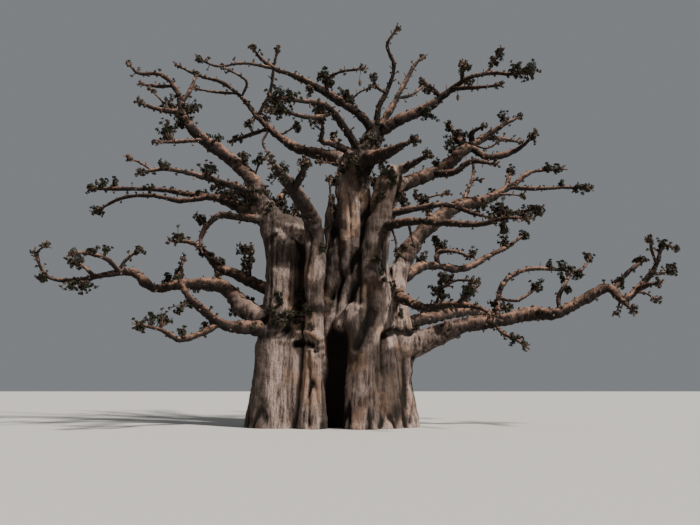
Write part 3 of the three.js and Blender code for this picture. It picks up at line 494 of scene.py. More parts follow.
# %% Forks and fruits
FORKS = [
    ("low_left", [[-9.3, 6.15], [-9.9, 6.65], [-10.9, 6.9], [-11.35, 6.8]], -2.8),
    ("low_left", [[-9.4, 6.05], [-9.1, 6.6], [-8.6, 7.05]], -0.6),
    ("low_left", [[-10.3, 5.95], [-10.9, 6.4], [-11.25, 6.5]], -0.6),
    ("low_left_crook", [[-5.2, 4.1], [-5.9, 3.65], [-6.8, 3.4], [-7.5, 3.75], [-8.5, 4.0]], -4.6),
    ("left_rear", [[-5.8, 9.25], [-7.0, 9.1], [-8.2, 9.3], [-9.4, 9.2], [-10.5, 8.6]], 1.6),
    ("left_fore", [[-8.2, 10.4], [-8.8, 10.75], [-9.2, 10.9]], -5.6),
    ("left_high", [[-7.05, 13.0], [-8.0, 13.05], [-8.9, 13.35]], -2.4),
    ("left_high", [[-7.15, 13.3], [-6.75, 14.0], [-6.55, 14.65]], 0.2),
    ("left_high", [[-7.5, 14.1], [-8.2, 14.1], [-8.9, 14.2]], 0.2),
    ("rear_left", [[-3.9, 12.75], [-3.4, 13.8], [-3.25, 15.0], [-3.1, 15.8]], 1.2),
    ("rear_left", [[-4.6, 13.6], [-4.4, 14.3], [-5.4, 14.95]], 2.2),
    ("rear_left", [[-4.8, 13.75], [-5.8, 13.85], [-6.65, 14.0]], 4.4),
    ("rear_left", [[-3.4, 12.2], [-4.3, 11.9], [-5.0, 11.6]], 3.0),
    ("top_left", [[-3.2, 14.9], [-4.6, 15.15], [-5.6, 15.0], [-6.5, 15.35]], -3.2),
    ("fore_left", [[-0.8, 12.9], [-1.6, 12.7], [-2.9, 13.0], [-3.5, 13.1]], -6.4),
    ("fore", [[-2.4, 9.6], [-2.0, 10.2], [-1.9, 10.75]], -6.6),
    ("rear_leader", [[2.0, 13.6], [2.6, 13.7], [3.1, 14.1]], 2.2),
    ("leader", [[1.5, 13.8], [1.1, 14.1], [1.0, 14.5]], -2.0),
    ("top_right", [[5.8, 14.65], [6.1, 15.1], [6.45, 15.7]], -1.2),
    ("top_right", [[4.8, 14.3], [4.8, 14.7], [4.85, 15.15]], -2.6),
    ("top_right", [[4.4, 14.0], [5.4, 14.05], [6.4, 14.15]], -3.0),
    ("top_right", [[3.9, 13.6], [3.5, 14.0], [3.1, 14.3]], -0.4),
    ("right_high", [[5.7, 11.85], [6.4, 11.75], [7.2, 11.6]], 2.6),
    ("right_high", [[5.1, 11.5], [5.1, 12.0], [5.6, 12.3]], 0.2),
    ("right_high", [[4.95, 11.4], [4.5, 11.8], [4.15, 12.4]], 1.4),
    ("right_high", [[5.0, 11.4], [5.8, 10.95], [7.0, 11.3], [7.75, 11.95]], -0.4),
    ("right_rear", [[6.6, 9.65], [7.8, 9.6], [9.0, 9.65], [9.95, 9.6]], 1.8),
    ("right_rear", [[6.5, 9.6], [6.6, 10.1], [6.7, 10.5]], 3.6),
    ("right_fore", [[5.9, 8.2], [6.7, 8.6], [7.8, 8.7]], -5.2),
    ("right_middle", [[3.5, 6.35], [3.6, 6.9], [4.3, 6.95], [4.9, 6.7]], 2.4),
    ("right_low_fore", [[4.3, 4.8], [4.7, 5.2], [5.0, 5.4]], -5.0),
    ("right_low_shoot", [[3.65, 5.4], [4.3, 5.75], [5.1, 5.75]], -4.2),
    ("low_right", [[10.6, 5.3], [11.2, 6.05], [11.95, 6.6]], -0.6),
    ("low_right", [[10.9, 5.0], [11.15, 4.75], [11.35, 4.55]], -2.8),
    ("low_right", [[11.6, 5.4], [12.1, 5.6], [12.5, 5.65]], -2.9),
    ("low_right", [[12.2, 6.05], [12.6, 6.05], [13.05, 6.25]], -1.2),
    ("low_right", [[12.4, 6.4], [12.3, 6.95], [12.25, 7.4]], -2.4),
    ("low_right_arch", [[5.97, 5.0], [6.7, 4.95], [7.55, 5.45]], 0.4),
    ("back_left", [[-3.0, 8.45], [-2.9, 9.2], [-2.3, 9.7]], 7.6),
    ("back_top", [[0.25, 10.35], [-0.3, 11.1], [-0.7, 11.9]], 8.0),
    ("back_right", [[3.3, 8.0], [3.2, 8.7], [2.7, 9.3]], 7.8),
    ("back_low_right", [[4.8, 4.5], [4.6, 5.1], [4.9, 5.6]], 6.6),
    ("back_low_left", [[-5.0, 5.35], [-5.4, 6.1], [-5.2, 6.5]], 6.8),
]
FORK_GIRTH = [0.75, 0.6]
FORK_TIP = 0.045
FRUITS = [("top_right", [4.7, 13.95]), ("top_right", [5.45, 14.5]), ("top_left_side", [0.4, 14.85])]
print(len(FORKS), "forks,", len(FRUITS), "fruits")

# %% [markdown]
# ## Curves through the way-points
#
# A curve that passes through its points is what is wanted, without the loops that an even one makes
# where a short step follows a long one. The centripetal Catmull-Rom curve has both qualities. Each limb
# also keeps close samples of itself, with a sideways direction that turns as little as it can, so the
# rings built round it later don't twist.

# %% Limbs as curves
SAMPLES = 12
SLIGHT_STEP = 0.001
CROOK = 0.22
CROOK_TURN = 2.4
MOST_OF_BEARER = 0.9


def seen(x, z, depth):
    """A place read in the trunk's plane, moved along the line of sight to its depth."""
    spread = 1 + depth / EYE_DISTANCE
    return Vector((x * spread, depth, EYE_HEIGHT + (z - EYE_HEIGHT) * spread))


def as_read(spots):
    """The other way round: places as x and z in the trunk's plane, as the eye sees them."""
    spread = 1 + spots[:, 1] / EYE_DISTANCE
    return np.stack([spots[:, 0] / spread, (spots[:, 2] - EYE_HEIGHT) / spread + EYE_HEIGHT], axis=1)


def along(values, share):
    """The value of an evenly spaced list at a share from 0 to 1 of its length."""
    if len(values) == 1:
        return values[0]
    place = share * (len(values) - 1)
    before = min(int(place), len(values) - 2)
    return values[before] + (values[before + 1] - values[before]) * (place - before)


class Limb:
    """A tapering limb: a curve through points and its girth at even shares of its way."""

    def __init__(self, points, girth, on=None):
        self.ends = [2 * points[0] - points[1], *points, 2 * points[-1] - points[-2]]
        self.girth = girth
        self.on = on
        self.last = len(points) - 1
        self.u = np.arange(self.last * SAMPLES + 1) / SAMPLES
        self.centres = [self.place(u) for u in self.u]
        self.ways = [self.way(u) for u in self.u]
        self.acrosses = []
        across = Vector((0, 1, 0))
        for way in self.ways:
            across = (across - way * across.dot(way)).normalized()
            self.acrosses.append(across)
        self.radii = [along(girth, u / self.last) for u in self.u]
        self.spots = np.array([tuple(centre) for centre in self.centres])
        self.widths = np.array(self.radii)

    def place(self, u):
        """The point of the curve at u way-points from the root."""
        before = min(int(u), self.last - 1)
        share = u - before
        a, b, c, d = self.ends[before : before + 4]
        first = (b - a).length ** 0.5
        middle = (c - b).length ** 0.5
        after = (d - c).length ** 0.5
        leave = ((b - a) / first - (c - a) / (first + middle) + (c - b) / middle) * middle
        reach = ((c - b) / middle - (d - b) / (middle + after) + (d - c) / after) * middle
        square = -3 * b + 3 * c - 2 * leave - reach
        cube = 2 * b - 2 * c + leave + reach
        return b + leave * share + square * share**2 + cube * share**3

    def way(self, u):
        """The direction of the curve at u."""
        ahead = self.place(min(u + SLIGHT_STEP, self.last))
        return (ahead - self.place(max(u - SLIGHT_STEP, 0))).normalized()

    def radius(self, u):
        """How thick the limb is at u, as a radius."""
        return along(self.girth, min(max(u / self.last, 0), 1))


def misses(limb, reading):
    """How far each sample of a limb lies from a reading, in the plane of the readings."""
    return np.hypot(*(as_read(limb.spots) - reading).T)


def nearest(limb, reading):
    """The number of the sample of a limb that lies nearest to a reading."""
    return int(np.argmin(misses(limb, reading)))


traced = {}
for name, column in COLUMNS.items():
    steps = len(column["way"]) - 1
    points = [seen(x, z, along(column["depth"], i / steps)) for i, (x, z) in enumerate(column["way"])]
    if not column.get("raised"):
        points[0].z = 0
    traced[name] = Limb(points, column["girth"])


def trace_limb(name, on, way, girth, depth):
    """Traces a limb from the middle of what bears it, and lets it waver a little in depth."""
    bearer = traced[on]
    root = nearest(bearer, way[0])
    depths = [bearer.centres[root].y, *depth]
    order = len(traced)
    steps = len(way) - 1
    points = []
    for i, (x, z) in enumerate(way):
        crook = CROOK * math.sin(CROOK_TURN * i * i + order) if 1 < i < steps else 0
        points.append(seen(x, z, along(depths, i / steps) + crook))
    points[0] = bearer.centres[root].copy()
    spreads = [1 + point.y / EYE_DISTANCE for point in points]
    radii = [along(girth, i / steps) * spreads[i] for i in range(steps + 1)]
    radii[0] = min(radii[0], bearer.radii[root] * MOST_OF_BEARER)
    traced[name] = Limb(points, radii, on)


for name, limb in sorted(LIMBS.items(), key=lambda item: item[1]["on"] in LIMBS):
    trace_limb(name, limb["on"], limb["way"], limb["girth"], limb["depth"])
forks_of = {name: [] for name in LIMBS}
for i, (on, way, depth) in enumerate(FORKS):
    root = nearest(traced[on], way[0])
    spread = 1 + traced[on].centres[root].y / EYE_DISTANCE
    girth = [*[traced[on].radii[root] / spread * share for share in FORK_GIRTH], FORK_TIP]
    trace_limb(f"fork_{i}", on, way, girth, [depth])
    forks_of[on].append(f"fork_{i}")
print("limbs traced:", len(traced))

# %% [markdown]
# ## Where a limb leaves the trunk
#
# The first stretch of each limb is still part of the trunk: it runs inside the columns, or so close to
# its neighbours that their bark has grown together. That stretch ends where the limb has left every
# other limb for good. The trunk's skin reaches that far and the limb's own skin begins there, as in the
# solids.

# %% Collars
AIR = 0.05


def bearers(name):
    """The limbs that carry a limb, from its own bearer down to a column."""
    on = traced[name].on
    return [on, *bearers(on)] if on else []


def leaves_at(name):
    """How many way-points from its root a limb has left everything but what it bears."""
    limb = traced[name]
    start = 0
    for other_name, other in traced.items():
        if other_name == name or name in bearers(other_name):
            continue
        gaps = np.linalg.norm(limb.spots[:, None] - other.spots[None], axis=2)
        near = (gaps <= limb.widths[:, None] + other.widths[None] + AIR).any(axis=1)
        if near.any():
            start = max(start, limb.u[near].max() + 1 / SAMPLES)
    return start


starts = {name: leaves_at(name) for name in LIMBS}
print("the first limb leaves after", {name: round(float(u), 2) for name, u in list(starts.items())[:3]})

# %% [markdown]
# ## Fine shoots and tufts
#
# Between the big limbs the real tree carries thin shoots and dense tufts, where leaves and stubs crowd
# round one spot. They are too fine for the solids, so they are listed here and grown only in this
# script. A shoot has way-points and the distance that it stands nearer to the eye (-) or further (+) than
# the limb it leaves. A tuft has its place and its radius, and grows from the nearest wood.

# %% Fine shoots and tufts
SHOOT_GIRTH = [0.06, 0.045, 0.03]
FINE_SHOOTS = [
    ("left_high", [[-7.1, 12.8], [-7.8, 13.3], [-8.4, 13.9]], -0.3),
    ("rear_left", [[-3.0, 11.85], [-2.7, 12.05], [-2.3, 12.3]], -0.2),
    ("rear_left", [[-3.4, 12.2], [-3.65, 11.6], [-3.42, 11.1]], -0.2),
    ("left_high", [[-4.15, 10.1], [-4.3, 10.6], [-4.5, 11.0]], -0.4),
    ("left_high", [[-4.0, 9.9], [-3.85, 10.5], [-3.65, 10.85]], -0.3),
    ("top_left", [[-0.1, 13.25], [0.3, 13.75], [0.95, 14.1]], -0.3),
    ("main_column", [[0.35, 10.9], [0.1, 10.45], [-0.35, 10.65], [-1.3, 10.75]], -1.0),
    ("main_column", [[0.4, 10.4], [0.75, 10.2], [0.95, 10.55], [1.25, 10.95]], -1.0),
    ("main_column", [[-0.2, 8.6], [-0.55, 9.3], [-0.5, 10.1]], -0.7),
    ("narrow_column", [[-1.3, 7.7], [-0.8, 8.1], [-0.8, 9.2], [-0.85, 10.0]], -0.1),
    ("right_crook", [[5.05, 9.9], [5.2, 9.98], [5.4, 9.95]], -0.1),
    ("right_high", [[5.2, 11.45], [5.7, 11.35], [6.35, 11.7]], 0.2),
    ("right_rear", [[6.1, 9.35], [6.6, 9.35], [7.15, 9.3]], -0.4),
    ("right_fore", [[1.6, 8.0], [1.85, 7.5], [1.9, 6.9]], -0.1),
    ("right_fore", [[2.45, 8.15], [2.5, 7.6], [2.65, 7.15]], -0.1),
    ("right_inner", [[2.6, 8.75], [3.2, 9.2], [4.0, 9.4]], -0.2),
    ("low_left", [[-12.6, 6.5], [-12.7, 6.95], [-12.4, 7.2]], -0.2),
    ("low_right", [[10.9, 5.0], [10.8, 4.75], [10.7, 4.45]], 0.2),
    ("low_right", [[11.4, 5.3], [11.9, 5.25], [12.35, 4.95]], 0.3),
    ("right_middle", [[3.6, 6.35], [3.5, 7.0], [3.45, 7.45]], 0.2),
]
TUFTS = [
    (-7.55, 13.25, 0.35), (-6.6, 13.15, 0.33), (-7.1, 12.75, 0.3), (-7.65, 12.15, 0.33),
    (-7.15, 12.4, 0.22), (-5.75, 11.65, 0.28), (-5.85, 10.55, 0.28), (-4.75, 11.8, 0.22),
    (-4.3, 12.45, 0.22), (-3.5, 12.75, 0.22), (-3.2, 13.55, 0.32), (-2.6, 13.6, 0.28), (-3.0, 13.1, 0.26),
    (-2.2, 12.35, 0.24), (-4.4, 10.9, 0.25), (-3.85, 10.85, 0.22), (-7.75, 10.6, 0.18), (-8.3, 9.6, 0.2),
    (-7.35, 9.55, 0.16), (-6.1, 9.4, 0.26), (-5.5, 9.6, 0.24), (-4.9, 9.3, 0.42), (-4.3, 9.25, 0.48),
    (-4.0, 8.75, 0.42), (-3.6, 9.4, 0.36), (-3.0, 10.2, 0.3), (-10.7, 9.7, 0.24), (-10.2, 9.85, 0.24),
    (-9.7, 9.85, 0.2), (-10.4, 8.7, 0.24), (-6.15, 8.3, 0.22), (-12.5, 5.85, 0.2), (-11.2, 5.6, 0.28),
    (-10.65, 5.5, 0.28), (-11.05, 6.6, 0.3), (-10.5, 7.05, 0.14), (-9.9, 7.05, 0.14), (-8.65, 7.0, 0.18),
    (-7.4, 5.85, 0.2), (-7.0, 5.75, 0.25), (-6.9, 6.1, 0.2), (-6.2, 5.45, 0.18), (-6.95, 7.6, 0.3),
    (-6.05, 6.9, 0.12), (-5.7, 6.8, 0.15), (-5.15, 6.25, 0.2), (-4.35, 7.0, 0.28), (-4.1, 6.6, 0.26),
    (-4.3, 6.3, 0.2), (-6.3, 4.85, 0.2), (-6.9, 4.6, 0.2), (-4.65, 4.5, 0.2), (-7.9, 4.3, 0.2),
    (-7.45, 4.3, 0.2), (-8.4, 3.9, 0.18), (-6.75, 3.75, 0.12), (-5.8, 3.95, 0.15), (-1.2, 14.7, 0.2),
    (-0.9, 14.35, 0.28), (-1.7, 13.85, 0.24), (-0.2, 13.75, 0.28), (0.0, 13.45, 0.2), (-1.35, 13.0, 0.25),
    (-1.3, 12.55, 0.28), (3.3, 12.85, 0.28), (3.3, 13.9, 0.22), (2.75, 11.7, 0.16), (-1.9, 10.7, 0.18),
    (1.3, 10.9, 0.2), (3.3, 11.05, 0.2), (3.6, 10.75, 0.15), (7.2, 14.85, 0.3), (7.6, 14.75, 0.32),
    (6.4, 15.6, 0.2), (6.15, 15.25, 0.2), (4.9, 14.95, 0.24), (5.1, 14.25, 0.14), (6.45, 12.8, 0.2),
    (4.15, 12.3, 0.2), (4.2, 11.65, 0.25), (4.35, 11.3, 0.25), (4.65, 11.9, 0.3), (4.6, 11.4, 0.3),
    (7.7, 11.9, 0.2), (6.65, 10.3, 0.2), (8.2, 10.5, 0.22), (8.6, 10.45, 0.18), (8.75, 9.85, 0.12),
    (9.35, 9.65, 0.2), (9.7, 9.6, 0.24), (5.9, 9.45, 0.15), (5.4, 8.85, 0.28), (6.1, 8.75, 0.28),
    (6.45, 8.5, 0.28), (7.2, 8.6, 0.2), (7.7, 8.65, 0.16), (6.25, 7.9, 0.2), (6.3, 7.4, 0.26),
    (7.1, 7.65, 0.24), (5.1, 6.9, 0.2), (3.5, 7.4, 0.2), (3.65, 7.15, 0.24), (2.9, 6.7, 0.24),
    (3.05, 9.2, 0.18), (4.25, 6.95, 0.16), (3.45, 5.4, 0.2), (3.75, 5.1, 0.2), (3.9, 5.85, 0.24),
    (4.85, 5.35, 0.25), (6.2, 4.6, 0.28), (5.75, 4.8, 0.2), (8.1, 6.4, 0.2), (8.6, 6.4, 0.24),
    (8.95, 6.2, 0.2), (9.3, 5.95, 0.2), (9.7, 6.75, 0.18), (8.6, 5.85, 0.16), (8.8, 5.35, 0.15),
    (7.6, 5.5, 0.24), (6.6, 3.4, 0.2), (10.85, 5.7, 0.2), (11.75, 6.6, 0.16), (12.15, 7.45, 0.12),
    (12.7, 7.25, 0.2), (12.95, 6.2, 0.25), (12.3, 6.0, 0.16),
]
TRUNK_TUFTS = [
    (-2.7, 4.15, 0.35), (-2.35, 4.25, 0.38), (-1.95, 4.25, 0.38), (-1.65, 4.4, 0.3), (-2.1, 4.75, 0.3),
    (-1.95, 5.15, 0.26), (-3.0, 4.6, 0.28), (-2.95, 5.05, 0.25), (-2.85, 4.1, 0.25), (1.0, 6.6, 0.22),
    (1.2, 6.1, 0.25), (1.3, 5.75, 0.22), (0.35, 10.2, 0.28), (-3.3, 8.7, 0.3), (1.65, 5.4, 0.22),
    (0.2, 10.9, 0.36), (-0.2, 10.5, 0.3), (0.7, 10.5, 0.3), (-0.6, 9.9, 0.26), (1.2, 11.0, 0.36),
    (0.9, 11.7, 0.36), (1.9, 9.3, 0.3), (2.2, 9.0, 0.26), (1.3, 9.3, 0.24), (1.0, 9.8, 0.24),
    (1.5, 10.3, 0.36), (1.7, 9.9, 0.3), (-2.3, 8.6, 0.4), (-2.9, 8.9, 0.4), (-3.1, 7.6, 0.24),
    (-1.15, 7.1, 0.22), (2.0, 4.4, 0.2), (2.6, 3.9, 0.18), (-1.5, 3.85, 0.2),
]

fine_shoots = []
for i, (on, way, ahead) in enumerate(FINE_SHOOTS):
    root = nearest(traced[on], way[0])
    name = f"fine_shoot_{i}"
    trace_limb(name, on, way, SHOOT_GIRTH, [traced[on].centres[root].y + ahead])
    fine_shoots.append(name)
print(len(fine_shoots), "fine shoots,", len(TUFTS) + len(TRUNK_TUFTS), "tufts")

# %% [markdown]
# ## A tube that follows a limb
#
# Bark on a limb is a skin round its line. A tube can be made by a curve with a bevel or by extruding a
# ring. The ring is taken here: it starts as a circle, its open edge is extruded and carried to each next
# place on the limb, and both ends are closed. Every vertex can then hold how thick the limb is there and
# how far out along it, which the relief and the colours ask for later.

# %% Tubes
TIP_ROUND = [(0.45, 0.86), (0.8, 0.5)]
ROOT_WIDTH = 0.8
SEARCH_STEP = 0.02


def stops(limb, start, end, spacing):
    """Places from start to end, in way-points, that lie about a spacing apart."""
    places = [start]
    for u in np.arange(start, end, SEARCH_STEP):
        if (limb.place(u) - limb.place(places[-1])).length >= spacing:
            places.append(float(u))
    if len(places) > 1 and (limb.place(end) - limb.place(places[-1])).length < spacing / 2:
        places.pop()
    return [*places, end]


def ring_place(limb, u, widen=1, shift=0):
    """The matrix that puts a flat unit circle round a limb at u."""
    way = limb.way(u)
    across = limb.acrosses[min(int(u * SAMPLES), len(limb.acrosses) - 1)]
    across = (across - way * across.dot(way)).normalized()
    turn = Matrix((across, way.cross(across), way)).transposed().to_4x4()
    centre = limb.place(u) + way * shift
    return Matrix.Translation(centre) @ turn @ Matrix.Scale(limb.radius(u) * widen, 4)


def verts_in(items):
    """The vertices among what an operator gave back."""
    return [item for item in items if isinstance(item, bmesh.types.BMVert)]


def edges_in(items):
    """The edges among what an operator gave back."""
    return [item for item in items if isinstance(item, bmesh.types.BMEdge)]


def extruded(places, sides, girths, lobe=None):
    """A closed tube through ring places, whose vertices hold the girth and the way gone there."""
    shape = bmesh.new()
    girth_layer = shape.verts.layers.float.new("girth")
    gone_layer = shape.verts.layers.float.new("gone")
    bmesh.ops.create_circle(shape, cap_ends=True, segments=sides, radius=1)
    if lobe:
        for vert in shape.verts:
            vert.co *= lobe(math.atan2(vert.co.y, vert.co.x))
    bmesh.ops.transform(shape, matrix=places[0], verts=shape.verts)
    for vert in shape.verts:
        vert[girth_layer] = girths[0]
    rim = list(shape.edges)
    gone = 0
    for before, after, girth in zip(places, places[1:], girths[1:]):
        grown = bmesh.ops.extrude_edge_only(shape, edges=rim)["geom"]
        ring = verts_in(grown)
        rim = [edge for edge in edges_in(grown) if set(edge.verts).issubset(ring)]
        bmesh.ops.transform(shape, matrix=after @ before.inverted(), verts=ring)
        gone += (after.translation - before.translation).length
        for vert in ring:
            vert[girth_layer] = girth
            vert[gone_layer] = gone
    bmesh.ops.contextual_create(shape, geom=rim)
    bmesh.ops.recalc_face_normals(shape, faces=shape.faces)
    return shape


def limb_tube(limb, start, end, sides, spacing, rooted=False):
    """A tube round a limb from start to end, thinner where it begins inside its bearer."""
    places = []
    girths = []
    for i, u in enumerate(stops(limb, start, end, spacing)):
        widen = ROOT_WIDTH if rooted and i == 0 else 1
        places.append(ring_place(limb, u, widen))
        girths.append(limb.radius(u))
    if end == limb.last:
        for ahead, narrow in TIP_ROUND:
            places.append(ring_place(limb, end, narrow, limb.radius(end) * ahead))
            girths.append(limb.radius(end))
    return extruded(places, sides, girths)


def gather(shapes):
    """One bmesh that holds all the shapes of a list."""
    whole = bmesh.new()
    for shape in shapes:
        part = kept_mesh("part", shape)
        whole.from_mesh(part)
        bpy.data.meshes.remove(part)
    return whole


def finished(name, shape):
    """The object that a finished bmesh becomes, smooth all over."""
    for face in shape.faces:
        face.smooth = True
    return new_object(name, kept_mesh(name, shape))


print("tip of a limb:", len(TIP_ROUND), "rings beyond its end")

# %% [markdown]
# ## Bark relief
#
# An old baobab's bark is smooth to the touch and still full of forms: lumps, long upright folds on the
# columns, and wrinkles across the limbs where they bend or carry weight. Displacement from a texture
# could give the lumps, but not folds that run along the wood, so each vertex is moved along its normal
# by noise read at a place that is stretched the way the folds run. No form is larger than a share of the
# limb's own girth, so a twig stays a twig.

# %% Relief
LUMPS = [(0.9, 0.10), (2.1, 0.075), (5.0, 0.035), (11.0, 0.012)]
MOST_OF_GIRTH = 0.2
SWELL_FINENESS = 0.8
RINGS_PER_METRE = 5.5
CREASE_FINENESS = 1.8
CREASES_PER_METRE = 12.0
CREASE_SHARPNESS = 6
CREASE_GAIN = 1.2
WRINKLE_MOST = 0.035
WRINKLE_OF_GIRTH = 0.14
STOUTEST = 0.4
HOLLOW_OF_GIRTH = 0.2
LEAST_HOLLOW = 0.02


def lumps(place, girth):
    """How far lumps of four sizes move the bark of a limb at a place."""
    moved = 0
    for fineness, height in LUMPS:
        moved += min(height, girth * MOST_OF_GIRTH) * noise.noise(place * fineness)
    return moved


def wrinkles(place, gone, girth):
    """Swellings and narrow creases that cross a limb, deeper where it is thick."""
    swell = noise.noise(place * SWELL_FINENESS + Vector((0, 0, gone * RINGS_PER_METRE)))
    crease = abs(noise.noise(place * CREASE_FINENESS + Vector((gone * CREASES_PER_METRE, 0, 30))))
    deepest = min(WRINKLE_MOST, girth * WRINKLE_OF_GIRTH)
    return deepest * (swell - CREASE_GAIN * max(0, 1 - crease * CREASE_SHARPNESS))


def roughen_limb(shape):
    """Moves a limb's bark and stores how deep it went, as a share of a full hollow at that girth."""
    girth_layer = shape.verts.layers.float["girth"]
    gone_layer = shape.verts.layers.float["gone"]
    # How deep each spot went, kept on the mesh so the bark paints shade into the hollows.
    hollow_shade_layer = shape.verts.layers.float.new("hollow_shade")
    shape.normal_update()
    moves = []
    for vert in shape.verts:
        move = lumps(vert.co, vert[girth_layer]) + wrinkles(vert.co, vert[gone_layer], vert[girth_layer])
        moves.append(move)
    for vert, move in zip(shape.verts, moves):
        full = max(LEAST_HOLLOW, min(vert[girth_layer], STOUTEST) * HOLLOW_OF_GIRTH)
        vert[hollow_shade_layer] = max(0, -move) / full
        vert.co += vert.normal * move


print("lumps of", len(LUMPS), "sizes")

# %% [markdown]
# ## The trunk
#
# The trunk is a cluster of columns that have grown into each other, with the collars of the limbs. The
# tubes of all of them are laid into one another, and a voxel remesh makes one skin round them, as bark
# does. Three webs of old wood close the narrow gaps between neighbouring columns. Smoothing rounds the
# creases where two columns meet, and the relief goes on after that. What stands on the ground reaches a
# little below it here, so that the foot can be cut flat at the end.

# %% Trunk skin
TRUNK_VOXEL = 0.062
SKIN_SMOOTHING = 3
FLARE = 0.1
FLARE_HEIGHT = 0.8
LOBES = 3
LOBE_DEPTH = 0.07
BELOW_GROUND = 0.4
COLUMN_SIDES = 36
COLUMN_STEP = 0.25
COLUMN_END = (0.75, 0.5)
COLLAR_SIDES = 20
COLLAR_STEP = 0.15
WEB_STEP = 0.2
WEBS = [
    ([[-2.1, -0.4], [-2.05, 2.0], [-2.05, 3.4], [-2.0, 4.4]], [0.68, 0.66, 0.6, 0.3], -0.68),
    ([[-1.95, 4.2], [-1.95, 6.0], [-2.0, 7.6]], [0.34, 0.3, 0.28], -0.35),
    ([[-0.75, 5.2], [-0.8, 7.0], [-0.85, 8.4], [-0.75, 9.3]], [0.3, 0.3, 0.22, 0.1], 0.1),
]


def column_tube(name, turn):
    """The lobed tube of a column, wider at the foot and rounded off at its end."""
    limb = traced[name]
    places = []
    girths = []
    for u in stops(limb, 0, limb.last, COLUMN_STEP):
        flare = 1 + FLARE * math.exp(-limb.place(u).z / FLARE_HEIGHT)
        places.append(ring_place(limb, u, flare))
        girths.append(limb.radius(u))
    if not COLUMNS[name].get("raised"):
        places.insert(0, Matrix.Translation((0, 0, -BELOW_GROUND)) @ places[0])
        girths.insert(0, girths[0])
    narrow, ahead = COLUMN_END
    places.append(ring_place(limb, limb.last, narrow, limb.radius(limb.last) * ahead))
    girths.append(girths[-1])
    return extruded(places, COLUMN_SIDES, girths,
                    lambda angle: 1 + LOBE_DEPTH * math.cos(LOBES * angle + turn))


shapes = [column_tube(name, turn) for turn, name in enumerate(COLUMNS)]
for name in LIMBS:
    if traced[name].on in COLUMNS:
        shapes.append(limb_tube(traced[name], 0, starts[name], COLLAR_SIDES, COLLAR_STEP))
for way, girth, depth in WEBS:
    web = Limb([seen(x, z, depth) for x, z in way], girth)
    shapes.append(limb_tube(web, 0, web.last, COLLAR_SIDES, WEB_STEP))

raw = finished("trunk_raw", gather(shapes))
remesh = raw.modifiers.new("skin", "REMESH")
remesh.mode = "VOXEL"
remesh.voxel_size = TRUNK_VOXEL * 1
skin = bpy.data.meshes.new_from_object(raw.evaluated_get(bpy.context.evaluated_depsgraph_get()))
bpy.data.objects.remove(raw)
trunk = bmesh.new()
trunk.from_mesh(skin)
bpy.data.meshes.remove(skin)
for _ in range(SKIN_SMOOTHING):
    bmesh.ops.smooth_vert(
        trunk, verts=trunk.verts, factor=0.5, use_axis_x=True, use_axis_y=True, use_axis_z=True
    )
trunk.normal_update()
print("trunk skin:", len(trunk.verts), "vertices")

# %% [markdown]
# ## What each spot of the trunk is
#
# The relief and the colours depend on where the bark is: on a stout column or already on the collar of a
# limb, and out in the open or down in a crease between two columns, where the bark is darkened as painted
# shade. The first comes from the wood that lies nearest under the skin. For the second a copy of the skin
# is smoothed far more: it bridges the creases, and how deep the real skin lies below it says how shut in a
# spot is.

# %% Trunk measures
COLUMN_GIRTH = 0.7
COLUMN_GIRTH_GAIN = 1.4
COLLAR_BLEND = 0.35
OWN_SHARE = 0.3
SOFTENING = 14
BRIDGING = 40
CREASE_FULL = 0.07
BATCH = 2000


def under_skin(spots, names):
    """For each spot, how far the wood of some limbs lies below it, and how thick that wood is."""
    centres = np.vstack([traced[name].spots for name in names])
    widths = np.concatenate([traced[name].widths for name in names])
    gaps = np.empty(len(spots))
    girths = np.empty(len(spots))
    for first in range(0, len(spots), BATCH):
        some = spots[first : first + BATCH]
        away = np.linalg.norm(some[:, None] - centres[None], axis=2) - widths
        best = away.argmin(axis=1)
        gaps[first : first + BATCH] = away[np.arange(len(some)), best]
        girths[first : first + BATCH] = widths[best]
    return gaps, girths


trunk.verts.ensure_lookup_table()
spots = np.array([tuple(vert.co) for vert in trunk.verts])
normals = np.array([tuple(vert.normal) for vert in trunk.verts])
ends = np.array([[edge.verts[0].index, edge.verts[1].index] for edge in trunk.edges])
shares = np.bincount(ends.ravel(), minlength=len(spots))


def softened(values, rounds):
    """Values on the skin's vertices, each averaged with its neighbours again and again."""
    for _ in range(rounds):
        total = np.bincount(ends[:, 0], values[ends[:, 1]], len(values))
        total += np.bincount(ends[:, 1], values[ends[:, 0]], len(values))
        values = OWN_SHARE * values + (1 - OWN_SHARE) * total / shares
    return values


column_gap, column_girth = under_skin(spots, list(COLUMNS))
limb_gap, limb_girth = under_skin(spots, [name for name in LIMBS if traced[name].on in COLUMNS])
on_limb = np.clip((column_gap - limb_gap) / COLLAR_BLEND, 0, 1)
stout_girth = np.minimum(column_girth * COLUMN_GIRTH_GAIN, COLUMN_GIRTH)
trunk_girth = softened(stout_girth * (1 - on_limb) + limb_girth * on_limb, SOFTENING)
bridged = np.stack([softened(spots[:, axis], BRIDGING) for axis in range(3)], axis=1)
# How shut in each spot is, in a crease between columns; the bark paints shade there.
shut_in = np.clip(((bridged - spots) * normals).sum(axis=1) / CREASE_FULL, 0, 1)
print("of the skin,", round(float((on_limb > 0.5).mean()) * 100), "% is collar")

# %% [markdown]
# ## Folds of the trunk
#
# Seen from a few steps away the columns show long folds that run up them, with narrow dark grooves and
# fine ribs, and under each limb the bark is pushed into wrinkles like a sleeve. Noise that changes fast
# round the trunk and slowly up it makes the folds, and noise that changes fast with height the
# wrinkles. In the middle of the front a third kind of fold runs aslant.

